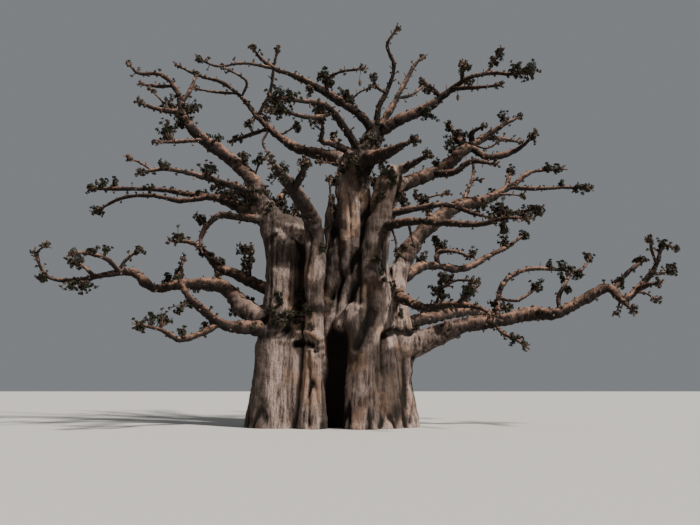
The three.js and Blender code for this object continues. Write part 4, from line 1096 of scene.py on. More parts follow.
# %% Trunk folds
FOLD = 0.07
FOLD_FINENESS = (1.15, 0.16)
GROOVE = 0.11
GROOVE_FINENESS = (1.3, 0.14)
GROOVE_SHARPNESS = 9
RIB = 0.03
RIB_FINENESS = (4.2, 0.42)
SLEEVE = 0.05
SLEEVE_FINENESS = (1.6, 6.0)
SLEEVE_REACH = 1.3
SLEEVE_ROOT = 0.6
OBLIQUE = 0.09
OBLIQUE_MIDDLE = (0.2, 5.6)
OBLIQUE_REACH = (1.6, 2.2)
OBLIQUE_WAY = (0.83, -0.55)
OBLIQUE_FINENESS = (2.8, 1.2)
TRUNK_LUMPS = 0.7
GIRTH_GAIN = 2.2

crotches = kdtree.KDTree(len(LIMBS))
for i, name in enumerate(LIMBS):
    crotches.insert(traced[name].place(starts[name] * SLEEVE_ROOT), i)
crotches.balance()


def streak(place, fine, rise, from_x=0, from_z=0):
    """Noise with one fineness round the trunk and another up it."""
    return noise.noise(Vector((place.x * fine + from_x, place.y * fine, place.z * rise + from_z)))


def slanting(place):
    """The folds that run aslant, which fade away from the middle of the front."""
    near_x = max(0, 1 - abs(place.x - OBLIQUE_MIDDLE[0]) / OBLIQUE_REACH[0])
    near_z = max(0, 1 - abs(place.z - OBLIQUE_MIDDLE[1]) / OBLIQUE_REACH[1])
    across = OBLIQUE_WAY[0] * place.x + OBLIQUE_WAY[1] * place.z
    fold = noise.noise(Vector((across * OBLIQUE_FINENESS[0], place.y * OBLIQUE_FINENESS[1], 7)))
    return fold * OBLIQUE * min(1, 2 * near_z * near_x)


def trunk_move(place):
    """How far the trunk's bark moves out at a place."""
    fold = streak(place, *FOLD_FINENESS) * FOLD
    groove = abs(streak(place, *GROOVE_FINENESS, from_x=9))
    fold -= GROOVE * max(0, 1 - groove * GROOVE_SHARPNESS)
    fold += streak(place, *RIB_FINENESS, from_z=5) * RIB
    near = max(0, 1 - crotches.find(place)[2] / SLEEVE_REACH)
    sleeve = streak(place, *SLEEVE_FINENESS) * SLEEVE * near
    return fold + sleeve + slanting(place) + lumps(place, 1) * TRUNK_LUMPS


moves = np.array([trunk_move(vert.co) for vert in trunk.verts]) * np.minimum(1, trunk_girth * GIRTH_GAIN)
print("folds move the bark by", round(float(moves.min()), 2), "to", round(float(moves.max()), 2), "m")

# %% [markdown]
# ## Burls, hollows and clefts
#
# Other forms belong to this one tree and stand where it has them. Burls, and the arched lip over the
# hole on the left, are round rises. The hole itself and the eyes where a limb was lost are round dents,
# and for both the line of sight through a reading finds the middle on the bark. Clefts run along a line
# between two readings. The face at the lower left is smoother than the rest, so the folds nearly vanish
# there. Patches of bark on the front are painted dark as shade, where the crown and the limbs cast their
# shadow on the trunk. They lie along lines too, and how dark each vertex is will be kept on the mesh for
# the bark's colour. A burl or hollow is written as its reading, its radius and its height, a cleft as two
# readings, half its width and its depth, and a patch of painted shade the same way without a depth.

# %% Trunk marks
BURLS = [
    (-2.65, 3.35, 0.24, 0.14), (-2.45, 3.55, 0.24, 0.16), (-2.2, 3.68, 0.24, 0.18),
    (-1.95, 3.7, 0.24, 0.18), (-1.7, 3.66, 0.24, 0.17), (-1.45, 3.58, 0.24, 0.16),
    (-1.26, 3.4, 0.22, 0.15), (-1.18, 3.12, 0.2, 0.13), (-1.15, 2.82, 0.18, 0.1), (0.0, 4.2, 0.8, 0.2),
    (-0.4, 3.8, 0.3, 0.14), (0.0, 4.65, 0.26, 0.12), (0.42, 4.7, 0.3, 0.14), (-1.25, 4.75, 0.3, 0.16),
    (0.62, 5.8, 0.26, 0.14), (0.95, 5.95, 0.3, 0.2), (1.12, 5.62, 0.24, 0.26), (1.75, 4.75, 0.42, 0.16),
    (2.0, 5.3, 0.3, 0.16), (-2.2, 7.9, 0.4, 0.12), (-2.9, 7.6, 0.4, 0.12), (1.6, 3.05, 0.4, 0.12),
    (1.35, 9.9, 0.3, 0.12), (0.9, 7.3, 0.3, 0.1),
]
HOLLOWS = [
    (-2.15, 3.22, 0.2, 0.3), (-1.95, 3.26, 0.2, 0.3), (-1.72, 3.24, 0.2, 0.3), (-1.5, 3.16, 0.2, 0.28),
    (-1.38, 2.9, 0.16, 0.2), (-1.33, 2.65, 0.12, 0.12), (-0.4, 3.8, 0.1, 0.1), (0.0, 4.65, 0.09, 0.1),
    (1.12, 5.56, 0.09, 0.12), (1.5, 4.55, 0.1, 0.12), (-2.7, 3.75, 0.3, 0.1),
]
CLEFTS = [
    (-0.66, 0.0, -0.6, 3.4, 0.5, 0.42), (-1.62, 0.0, -1.62, 2.9, 0.1, 0.1),
    (0.2, 3.1, 0.95, 4.4, 0.3, 0.16), (-0.8, 5.1, 0.3, 6.9, 0.25, 0.16),
    (1.25, 0.0, 1.25, 3.4, 0.12, 0.1), (0.75, 0.3, 0.8, 3.2, 0.09, 0.06),
    (2.2, 0.0, 2.15, 2.6, 0.12, 0.1), (1.35, 3.55, 1.75, 3.74, 0.18, 0.2),
    (1.75, 3.74, 2.35, 3.62, 0.15, 0.15),
]
# Painted shade: dark patches on the front where the crown and the limbs cast shadow on the trunk, each as
# two readings and half its width.
PAINTED_SHADE_LINES = [
    (-3.85, 0.0, -3.8, 3.2, 0.6), (-0.68, 0.0, -0.55, 3.3, 0.55), (-0.1, 2.9, 1.0, 4.6, 0.6),
    (0.9, 4.3, 1.0, 5.3, 0.6), (-1.1, 4.9, 0.1, 6.9, 0.7), (0.1, 6.1, 1.3, 8.4, 0.85),
    (1.3, 8.4, 1.6, 9.6, 0.6), (0.4, 5.3, 1.2, 7.0, 0.6), (-3.3, 6.8, -2.0, 6.75, 0.6),
    (-1.96, 4.8, -1.96, 6.8, 0.35), (-1.25, 7.7, -1.3, 8.6, 0.65), (1.75, 0.8, 1.8, 2.6, 0.6),
    (-3.2, 3.68, -2.5, 3.68, 0.35), (-0.75, 6.8, -0.8, 9.0, 0.6), (0.5, 10.1, 0.9, 11.9, 0.75),
    (-2.9, 8.7, -1.5, 8.3, 0.5), (-3.6, 4.0, -3.4, 8.5, 0.45),
]
CLEFT_EDGE = 1.5
FRONT_FADE = 0.8
FACING_GAIN = 1.5
FLAT_FACE = (-3.3, -1.72, 3.5)
FLAT_EDGE = 0.2
FLATTENED = 0.8
EYE_SPOT = Vector((0, -EYE_DISTANCE, EYE_HEIGHT))


def line_share(x0, z0, x1, z1, half):
    """For each spot on the front, how near it is to a line between two readings, from 0 to 1."""
    way = np.array((x1 - x0, z1 - z0))
    from_start = read_spots - (x0, z0)
    gone = np.clip(from_start @ way / (way @ way), 0, 1)
    aside = np.linalg.norm(from_start - gone[:, None] * way, axis=1) / half
    return np.maximum(0, 1 - aside**2) * np.clip(0.5 - spots[:, 1] / FRONT_FADE, 0, 1)


def on_bark(tree, x, z):
    """Where the line of sight through a reading first meets the bark, or else the trunk's own plane."""
    return tree.ray_cast(EYE_SPOT, (seen(x, z, 0) - EYE_SPOT).normalized())[0] or seen(x, z, 0)


bark_tree = BVHTree.FromBMesh(trunk)
read_spots = as_read(spots)
left, right, top = FLAT_FACE
inside = np.minimum(np.minimum(read_spots[:, 0] - left, right - read_spots[:, 0]), top - read_spots[:, 1])
moves *= 1 - FLATTENED * np.clip(inside / FLAT_EDGE, 0, 1) * (spots[:, 1] < 0)
for sign, rounds in ((1, BURLS), (-1, HOLLOWS)):
    for x, z, radius, height in rounds:
        middle = on_bark(bark_tree, x, z)
        away = np.linalg.norm(spots - np.array(middle), axis=1) / radius
        moves += sign * height * np.maximum(0, 1 - away**2) ** 2
facing = np.clip(-normals[:, 1] * FACING_GAIN, 0, 1)
for x0, z0, x1, z1, half, depth in CLEFTS:
    moves -= depth * line_share(x0, z0, x1, z1, half) ** CLEFT_EDGE * facing
# How much painted shade of the crown each spot of the front takes.
painted_shade = np.zeros(len(spots))
for line in PAINTED_SHADE_LINES:
    painted_shade = np.maximum(painted_shade, line_share(*line))
print(len(BURLS), "burls,", len(HOLLOWS), "hollows,", len(CLEFTS), "clefts,", len(PAINTED_SHADE_LINES), "painted_shade_patches")

# %% [markdown]
# ## The finished trunk
#
# The moves are softened once, so that no single vertex sticks out, and each vertex then goes along its
# normal. Three measures stay on the mesh for the material: how thick the wood is, how hollow the spot,
# for shade painted into the hollows, and how much painted shade of the crown lies on it. The foot is cut
# flat on the ground by a plane and closed with triangles. Its edge is kept sharp, because the rest of the
# skin is smooth.

# %% Finished trunk
HOLLOW_FULL = 0.12

moves = softened(moves, 1)
# How hollow each spot is, in the relief and in the creases, kept for painting shade there.
hollow_shade = np.clip(-moves / HOLLOW_FULL, 0, 1) + shut_in
girth_layer = trunk.verts.layers.float.new("girth")
hollow_shade_layer = trunk.verts.layers.float.new("hollow_shade")
painted_shade_layer = trunk.verts.layers.float.new("painted_shade")
for vert, move, girth, depth, dark in zip(trunk.verts, moves, trunk_girth, hollow_shade, painted_shade):
    vert[girth_layer] = girth
    vert[hollow_shade_layer] = depth
    vert[painted_shade_layer] = dark
    vert.co += vert.normal * float(move)
cut = bmesh.ops.bisect_plane(trunk, geom=[*trunk.verts, *trunk.edges, *trunk.faces], dist=1e-5,
                             plane_co=(0, 0, 0), plane_no=(0, 0, -1), clear_outer=True)
rim = edges_in(cut["geom_cut"])
foot = bmesh.ops.holes_fill(trunk, edges=rim, sides=0)["faces"]
bmesh.ops.triangulate(trunk, faces=foot)
for edge in rim:
    edge.smooth = False
bark_tree = BVHTree.FromBMesh(trunk)
trunk_bark = finished("trunk_bark", trunk)
print("trunk:", len(trunk_bark.data.polygons), "faces, cut flat at the ground")

# %% [markdown]
# ## The limbs
#
# Each limb is one skin from the place where it leaves the trunk, or the limb that bears it, to its tip,
# with its own forks. It starts a little inside the trunk's collar, narrower there, so no gap or step
# shows. A stout limb gets more sides and closer rings than a thin one, as its wrinkles show more.

# %% Limbs
OVERLAP = 0.35
BACK_STEP = 0.04
STOUT = 0.2
STOUT_TUBE = (24, 0.055)
THIN_TUBE = (14, 0.07)
FORK_TUBE = (10, 0.08)
SHOOT_TUBE = (8, 0.08)

limb_pieces = {}
for name in LIMBS:
    limb = traced[name]
    start = starts[name] if limb.on in COLUMNS else 0
    while start > 0 and (limb.place(start) - limb.place(starts[name])).length < OVERLAP:
        start = max(0, start - BACK_STEP)
    tube = STOUT_TUBE if limb.radius(starts[name]) > STOUT else THIN_TUBE
    shapes = [limb_tube(limb, start, limb.last, *tube, rooted=True)]
    shapes += [limb_tube(traced[fork], 0, traced[fork].last, *FORK_TUBE) for fork in forks_of[name]]
    shape = gather(shapes)
    roughen_limb(shape)
    limb_pieces[name] = finished(f"{name}_bark", shape)
thin_shape = gather([limb_tube(traced[name], 0, traced[name].last, *SHOOT_TUBE) for name in fine_shoots])
roughen_limb(thin_shape)
thin_limbs = finished("thin_limbs", thin_shape)
limb_faces = sum(len(piece.data.polygons) for piece in limb_pieces.values())
print("limbs:", len(limb_pieces), "with", limb_faces, "faces")

# %% [markdown]
# ## One spur, one twig
#
# The limbs bristle with short spurs, thick at the foot and knuckled at the tip, where leaves and
# shoots of many years have come and gone. They are made once, as a few shapes one unit long, and laid
# along the limbs later. Each starts as a circle that is extruded up to its tip with a bend on the way.

# %% Spurs
def spur_mesh(name, sides, profile, bend):
    """A short bent spur of unit height, whose profile gives radii at its heights."""
    places = []
    for height, radius in profile:
        aside = bend * height**2
        places.append(Matrix.Translation((aside, 0, height)) @ Matrix.Scale(radius, 4))
    return kept_mesh(name, extruded(places, sides, [radius for _, radius in profile]))


KNOB = [(-0.3, 1.0), (0.25, 0.85), (0.55, 0.95), (0.85, 0.8), (1.0, 0.4)]
SHOOT = [(-0.1, 1.2), (0.2, 0.8), (0.45, 0.95), (0.56, 0.72), (0.8, 0.8), (0.92, 1.1), (1.0, 0.6)]
TWIG = [(-0.05, 1.1), (0.5, 0.75), (0.9, 0.7), (1.0, 0.5)]
spur_meshes = {
    "knob": spur_mesh("knob", 6, KNOB, 0.25),
    "shoot": spur_mesh("shoot", 6, SHOOT, 0.3),
    "twig": spur_mesh("twig", 4, TWIG, 0.25),
}
print({name: len(mesh.polygons) for name, mesh in spur_meshes.items()})

# %% [markdown]
# ## One spray of leaves
#
# A baobab leaf is like a hand: five leaflets spread from the end of one stalk, each widest beyond its
# middle. Each leaflet is a small folded blade of two faces, cut to its own outline, and a spray holds
# several leaves round the tip of a twig. They are about as large as real ones, so many sprays are
# needed later for a tuft that looks dense. A size that differs from leaf to leaf is written as a pair:
# the least, and the most that is added to it.

# %% Leaves
LEAFLETS = 5
LEAFLET_LENGTH = 0.1
LEAFLET_WIDTH = 0.036
LEAFLET_FAN = 150
OUTER_SHORTER = 0.25
LEAVES_IN_SPRAY = 7
LEAF_LEANS = (20, 80)
LEAF_STALKS = (0.02, 0.06)
LEAF_DROOPS = (-20, 70)
LEAF_SIZES = (0.75, 0.5)
SPRAY_SEEDS = (31, 48, 65)
GOLDEN_ANGLE = math.pi * (3 - math.sqrt(5))


def seeded(seed):
    """The solids' own rule for a run of numbers between 0 and 1."""
    state = seed

    def step():
        nonlocal state
        state = (state * 16807) % 2147483647
        return state / 2147483647

    return step


def drawn(sizes, random):
    """A number drawn from the least of some sizes upward, by at most their spread."""
    least, spread = sizes
    return least + spread * random()


def leaflet(shape, place):
    """One leaflet from its foot along X, folded along its middle."""
    half = LEAFLET_WIDTH / 2
    outline = [(0, 0, 0), (0.35, 0.6 * half, 0.1 * half), (0.68, half, 0.35 * half), (1, 0, -0.2 * half)]
    left = [shape.verts.new((x * LEAFLET_LENGTH, y, z)) for x, y, z in outline]
    made = bmesh.ops.contextual_create(shape, geom=left)["faces"]
    twin = bmesh.ops.duplicate(shape, geom=[*left, *made[0].edges, *made])["geom"]
    twin_verts = verts_in(twin)
    bmesh.ops.scale(shape, vec=(1, -1, 1), verts=twin_verts)
    bmesh.ops.reverse_faces(shape, faces=[item for item in twin if isinstance(item, bmesh.types.BMFace)])
    bmesh.ops.transform(shape, matrix=place, verts=[*left, *twin_verts])


def spray_mesh(name, seed):
    """Leaves round the tip of a twig that points along Z."""
    random = seeded(seed)
    shape = bmesh.new()
    middle = (LEAFLETS - 1) / 2
    for i in range(LEAVES_IN_SPRAY):
        turn = i * GOLDEN_ANGLE + random()
        lean = math.radians(drawn(LEAF_LEANS, random))
        stalk = drawn(LEAF_STALKS, random)
        droop = math.radians(drawn(LEAF_DROOPS, random))
        leaf_place = (
            Matrix.Rotation(turn, 4, "Z")
            @ Matrix.Rotation(lean, 4, "Y")
            @ Matrix.Translation((0, 0, stalk))
            @ Matrix.Rotation(droop, 4, "Y")
        )
        size = drawn(LEAF_SIZES, random)
        for k in range(LEAFLETS):
            fan = math.radians(LEAFLET_FAN * k / (LEAFLETS - 1) - LEAFLET_FAN / 2)
            share = 1 - OUTER_SHORTER * abs(k - middle) / middle
            leaflet(shape, leaf_place @ Matrix.Rotation(fan, 4, "Z") @ Matrix.Scale(size * share, 4))
    return kept_mesh(name, shape)


spray_meshes = [spray_mesh(f"spray_{i}", seed) for i, seed in enumerate(SPRAY_SEEDS)]
print("faces in a spray:", len(spray_meshes[0].polygons))

# %% [markdown]
# ## Where spurs and claws grow
#
# The rule is that of the solids: shoots leave a limb in a spiral, each turned by the golden angle from
# the one before, leaning along the limb and upward. It is carried further here. Short spurs and knobs
# bristle all along the wood, about one in five with leaves, and every tip ends in a claw of shoots.

# %% Growth rule
LOWEST_LEAF = 0.5
SHOOT_LEAN = 0.35
LEAN_SHARES = (0.4, 1)
SHOOT_RISE = 0.3
SEATED = 0.85
SPUR_SPACING = 0.1
SPUR_STEPS = (0.3, 1.2)
SPUR_LENGTH = 0.07
SPUR_LONGER = 0.15
SPUR_WIDTHS = (0.02, 0.018)
SPUR_SPRAYS = (0.5, 0.4)
LEAFY_SPURS = 0.5
KNOB_SHARE = 0.55
KNOB_WIDTH = 0.025
KNOB_OF_GIRTH = 0.22
KNOB_TALLER = 1.2
CLAW_SHOOTS = 9
CLAW_SEATED = 0.4
CLAW_ASIDE = 0.8
CLAW_AHEAD = (0.2, 0.9)
CLAW_LENGTHS = (0.1, 0.17)
CLAW_WIDTHS = (0.03, 0.014)
CLAW_SPRAYS = (0.6, 0.4)
CLAW_SPRAY_PLACES = (0.7, 0.3)
MOST_CLAW_SPRAYS = 2.4
FORK_BARE = 0.4
SHOOT_BARE = 0.8
LIMB_SEED = 7919
SEED_STEP = 101
SHOOT_SEED = 4242
UP = Vector((0, 0, 1))
knobs = []
shoots = []
twigs = []
sprays = []


def upright_place(foot, out, length, radius):
    """The matrix that stands a unit shape on a foot, along out, bent towards the sky."""
    above = UP - out * UP.dot(out)
    above = above.normalized() if above.length > 0.1 else out.orthogonal().normalized()
    turn = Matrix((above, out.cross(above), out)).transposed().to_4x4()
    size = Matrix.Diagonal((radius, radius, length, 1))
    return Matrix.Translation(foot) @ turn @ size


def outward(limb, i, turn, random):
    """The direction of a shoot that leaves a limb at sample i."""
    across = limb.acrosses[i].copy()
    across.rotate(Matrix.Rotation(turn, 3, limb.ways[i]))
    lean = limb.ways[i] * SHOOT_LEAN * drawn(LEAN_SHARES, random)
    return (across + lean + UP * SHOOT_RISE).normalized()


def add_spray(tip, out, size, random):
    """A spray of leaves at the tip of a twig."""
    sprays.append((upright_place(tip, out, size, size), int(random() * len(spray_meshes)), random()))


def add_spurs(name, start, random):
    """Spurs and knobs in a spiral along a limb."""
    limb = traced[name]
    turn = random() * 2 * math.pi
    to_next = SPUR_SPACING * random()
    for i in range(1, len(limb.u)):
        if limb.u[i] < start:
            continue
        to_next -= (limb.centres[i] - limb.centres[i - 1]).length
        if to_next > 0:
            continue
        to_next = SPUR_SPACING * drawn(SPUR_STEPS, random)
        turn += GOLDEN_ANGLE
        out = outward(limb, i, turn, random)
        foot = limb.centres[i] + out * limb.radii[i] * SEATED
        if random() < KNOB_SHARE:
            wide = KNOB_WIDTH + KNOB_OF_GIRTH * limb.radii[i] * random()
            knobs.append(upright_place(foot, out, wide * (KNOB_TALLER + random()), wide))
            continue
        length = SPUR_LENGTH + SPUR_LONGER * random() ** 2
        shoots.append(upright_place(foot, out, length, drawn(SPUR_WIDTHS, random)))
        if random() < LEAFY_SPURS and foot.z > LOWEST_LEAF:
            add_spray(foot + out * length, out, drawn(SPUR_SPRAYS, random), random)


def add_claw(name, random):
    """A claw of stout shoots at the end of a limb."""
    limb = traced[name]
    turn = random() * 2 * math.pi
    for k in range(CLAW_SHOOTS):
        turn += GOLDEN_ANGLE
        i = len(limb.u) - 1 - k // 2
        aside = outward(limb, i, turn, random) * CLAW_ASIDE
        out = (aside + limb.ways[i] * drawn(CLAW_AHEAD, random)).normalized()
        foot = limb.centres[i] + out * limb.radii[i] * CLAW_SEATED
        length = drawn(CLAW_LENGTHS, random)
        shoots.append(upright_place(foot, out, length, drawn(CLAW_WIDTHS, random)))
        for _ in range(int(MOST_CLAW_SPRAYS * random())):
            tip = foot + out * length * drawn(CLAW_SPRAY_PLACES, random)
            add_spray(tip, out, drawn(CLAW_SPRAYS, random), random)


for order, name in enumerate(LIMBS):
    random = seeded(order * SEED_STEP + LIMB_SEED)
    for limb_name, start in [(name, starts[name]), *[(fork, FORK_BARE) for fork in forks_of[name]]]:
        add_spurs(limb_name, start, random)
        add_claw(limb_name, random)
random = seeded(SHOOT_SEED)
for name in fine_shoots:
    add_spurs(name, SHOOT_BARE, random)
    add_claw(name, random)
print(len(shoots), "shoots,", len(knobs), "knobs")

# %% [markdown]
# ## Where tufts grow
#
# A tuft is a crowd of leafy twigs round a place of its own. Each twig starts from the wood that is
# nearest to a spot inside the tuft, so a search tree of all the wood is made first. A reading gives no
# depth, so a tuft takes the depth of the limb that it seems to stand on, and one on the trunk takes the
# depth of the bark. The boughs at the back carry tufts at even steps.

# %% Tufts
TUFT_GAIN = 1.15
FEWEST_TWIGS = 5
TWIGS_BY_SIZE = 190
TUFT_REACH = (0.7, 0.9)
TWIG_WIDTHS = (0.014, 0.012)
SHORTEST_TWIG = 0.05
ROOTS_REACH = 0.5
TUFT_SPRAYS = (0.65, 0.5)
SECOND_SPRAYS = (0.6, 0.4)
SECOND_SHARE = 0.75
SECOND_BACK = 0.3
SECOND_ASIDE = 0.06
BACK_TUFTS = (0.14, 0.16)
BACK_TUFT_STEP = 8
BACK_FORK_START = 5

wood = kdtree.KDTree(sum(len(limb.centres) for limb in traced.values()))
wood_widths = []
for limb in traced.values():
    for centre, radius in zip(limb.centres, limb.radii):
        wood.insert(centre, len(wood_widths))
        wood_widths.append(radius)
wood.balance()


def in_ball(random):
    """A vector to a place inside a ball of radius 1, the same for the same run of numbers."""
    turn = random() * 2 * math.pi
    height = 2 * random() - 1
    reach = random() ** 0.5
    flat = math.sqrt(1 - height * height)
    return Vector((flat * math.cos(turn), flat * math.sin(turn), height)) * reach


def add_tuft(middle, radius, random):
    """A crowd of leafy twigs round a middle, each from the nearest wood."""
    for _ in range(int(FEWEST_TWIGS + TWIGS_BY_SIZE * radius**2)):
        tip = middle + in_ball(random) * radius * drawn(TUFT_REACH, random)
        centre, number, away = wood.find(middle + in_ball(random) * radius * ROOTS_REACH)
        out = (tip - centre).normalized()
        foot = centre + out * min(wood_widths[number], away) * SEATED
        length = (tip - foot).length
        if tip.z < LOWEST_LEAF or length < SHORTEST_TWIG:
            continue
        twigs.append(upright_place(foot, out, length, drawn(TWIG_WIDTHS, random)))
        add_spray(tip, out, drawn(TUFT_SPRAYS, random), random)
        if random() < SECOND_SHARE:
            lower = tip - out * length * SECOND_BACK + in_ball(random) * SECOND_ASIDE
            add_spray(lower, out, drawn(SECOND_SPRAYS, random), random)


off_trunk = [name for name in traced if name not in COLUMNS]
for x, z, radius in TUFTS:
    limb = traced[min(off_trunk, key=lambda name: misses(traced[name], (x, z)).min())]
    depth = limb.centres[nearest(limb, (x, z))].y
    add_tuft(seen(x, z, depth), radius * TUFT_GAIN, random)
for x, z, radius in TRUNK_TUFTS:
    add_tuft(on_bark(bark_tree, x, z), radius, random)
for name in [name for name in LIMBS if name.startswith("back_")]:
    for limb_name in (name, *forks_of[name]):
        limb = traced[limb_name]
        first = int(starts[name] * SAMPLES) if limb_name == name else BACK_FORK_START
        for i in range(len(limb.u) - 1, first, -BACK_TUFT_STEP):
            add_tuft(limb.centres[i] + UP * limb.radii[i], drawn(BACK_TUFTS, random), random)
print(len(twigs), "twigs,", len(sprays), "sprays")

# %% [markdown]
# ## Laying out thousands of small things
#
# Thousands of spurs as objects of their own would be slow to handle, and instances are lost when the
# model is passed on. So each kind is one joined mesh: the corners of the one shape are carried by every
# matrix in the list with one array product, and its faces are repeated with their numbers moved on.

# %% Joined meshes
def scattered(name, mesh, places):
    """One mesh that repeats a small one at every place of a list."""
    count = len(mesh.vertices)
    corners = np.empty(count * 3)
    mesh.vertices.foreach_get("co", corners)
    corners = np.hstack([corners.reshape(-1, 3), np.ones((count, 1))])
    matrices = np.array([np.array(place) for place in places])
    spots = np.einsum("nij,kj->nki", matrices, corners)[:, :, :3].reshape(-1, 3)
    loops = np.array([loop.vertex_index for loop in mesh.loops])
    sizes = np.array([polygon.loop_total for polygon in mesh.polygons])
    joined = bpy.data.meshes.new(name)
    joined.vertices.add(len(spots))
    joined.vertices.foreach_set("co", spots.ravel())
    numbers = (loops[None, :] + (np.arange(len(places)) * count)[:, None]).ravel()
    joined.loops.add(len(numbers))
    joined.loops.foreach_set("vertex_index", numbers.astype(np.int32))
    every_size = np.tile(sizes, len(places))
    joined.polygons.add(len(every_size))
    joined.polygons.foreach_set("loop_start", np.concatenate([[0], np.cumsum(every_size)[:-1]]))
    joined.update(calc_edges=True)
    joined.validate()
    return joined


def joined_object(name, meshes):
    """One object made of several meshes, which are used up."""
    shape = bmesh.new()
    for mesh in meshes:
        shape.from_mesh(mesh)
        bpy.data.meshes.remove(mesh)
    return finished(name, shape)


spur_objects = [
    joined_object("knobs", [scattered("knobs", spur_meshes["knob"], knobs)]),
    joined_object("spurs", [scattered("spurs", spur_meshes["shoot"], shoots)]),
    joined_object("fine_twigs", [scattered("twigs", spur_meshes["twig"], twigs)]),
]
print({item.name: len(item.data.polygons) for item in spur_objects})

# %% [markdown]
# ## The leaves
#
# The sprays are shared out among four plain colours, from dark green to brown, each spray all of one
# colour, as leaves of one shoot are of one age. Five objects hold them, so none grows too heavy.

# %% Leaf objects
LEAF_COLOURS = [(0.009, 0.012, 0.005), (0.016, 0.019, 0.008), (0.030, 0.027, 0.013), (0.034, 0.020, 0.013)]
LEAF_ROUGHNESS = 0.6
LEAF_OBJECTS = 5
leaf_materials = [
    plain_material(f"leaf_{i}", colour, LEAF_ROUGHNESS) for i, colour in enumerate(LEAF_COLOURS)
]
leaf_objects = []
for number in range(LEAF_OBJECTS):
    parts = []
    for kind, mesh in enumerate(spray_meshes):
        for shade in range(len(LEAF_COLOURS)):
            places = [
                place for i, (place, shape_kind, tone) in enumerate(sprays)
                if i % LEAF_OBJECTS == number and shape_kind == kind
                and int(tone * len(LEAF_COLOURS)) == shade
            ]
            if places:
                part = scattered("leaves", mesh, places)
                part.polygons.foreach_set("material_index", [shade] * len(part.polygons))
                parts.append(part)
    leaf_object = joined_object(f"leaves_{number + 1}", parts)
    for material in leaf_materials:
        leaf_object.data.materials.append(material)
    leaf_objects.append(leaf_object)
print("leaf faces:", [len(leaf_object.data.polygons) for leaf_object in leaf_objects])

# %% [markdown]
# ## The fruits
#
# A baobab's fruit hangs on a long stalk like a lantern: a blunt velvet pod, narrower towards its end. A
# sphere is stretched and drawn in below, and lightly ribbed. The stalk is a thin extruded tube.

# %% Fruits
FRUIT_LENGTH = 0.26
FRUIT_RADIUS = 0.065
FRUIT_TAPER = 0.22
FRUIT_RIBS = 5
FRUIT_RIB = 0.05
FRUIT_HANGS = 0.42
STALK_LENGTH = 0.45
STALK_RADIUS = 0.012
STALK_RINGS = 7
STALK_SWAY = 0.02


def fruit_shapes(hook):
    """A stalk and its pod, hung from a point."""
    stalk_places = []
    for share in np.linspace(0, 1, STALK_RINGS):
        sway = STALK_SWAY * math.sin(share * 5)
        spot = hook + Vector((sway, sway * 0.5, -STALK_LENGTH * share))
        stalk_places.append(Matrix.Translation(spot) @ Matrix.Scale(STALK_RADIUS, 4))
    stalk = extruded(stalk_places, 6, [STALK_RADIUS] * STALK_RINGS)
    pod = bmesh.new()
    pod.verts.layers.float.new("girth")
    bmesh.ops.create_uvsphere(pod, u_segments=20, v_segments=14, radius=1)
    for vert in pod.verts:
        angle = math.atan2(vert.co.y, vert.co.x)
        pull = 1 - FRUIT_TAPER * max(0, -vert.co.z) + FRUIT_RIB * math.cos(FRUIT_RIBS * angle)
        vert.co.x *= FRUIT_RADIUS * pull
        vert.co.y *= FRUIT_RADIUS * pull
        vert.co.z *= FRUIT_LENGTH / 2
    low = hook + Vector((0, 0, -STALK_LENGTH - FRUIT_LENGTH * FRUIT_HANGS))
    bmesh.ops.translate(pod, vec=low, verts=pod.verts)
    return [stalk, pod]


fruit_parts = []
for on, hangs in FRUITS:
    fruit_parts += fruit_shapes(traced[on].centres[nearest(traced[on], hangs)])
fruit_object = finished("fruits", gather(fruit_parts))
print("fruits:", len(FRUITS))

# %% [markdown]
# ## Writing a material as sums
#
# A bark material is a sum of many small patterns. Written node by node it would be hard to read, so a
# small class wraps one socket and lets values be added and multiplied with the usual signs, and one
# method makes any other node from its type, its settings and its inputs.

# %% Material tools
class Value:
    """A value socket that can stand in a sum or a product."""

    def __init__(self, finish, socket):
        self.finish = finish
        self.socket = socket

    def math(self, operation, first, second):
        node = self.finish.node("ShaderNodeMath", {"operation": operation}, {0: first, 1: second})
        return Value(self.finish, node.outputs[0])

    def __add__(self, other):
        return self.math("ADD", self, other)

    def __mul__(self, other):
        return self.math("MULTIPLY", self, other)

    def __sub__(self, other):
        return self.math("SUBTRACT", self, other)

    def __rsub__(self, other):
        return self.math("SUBTRACT", other, self)

    __radd__ = __add__
    __rmul__ = __mul__


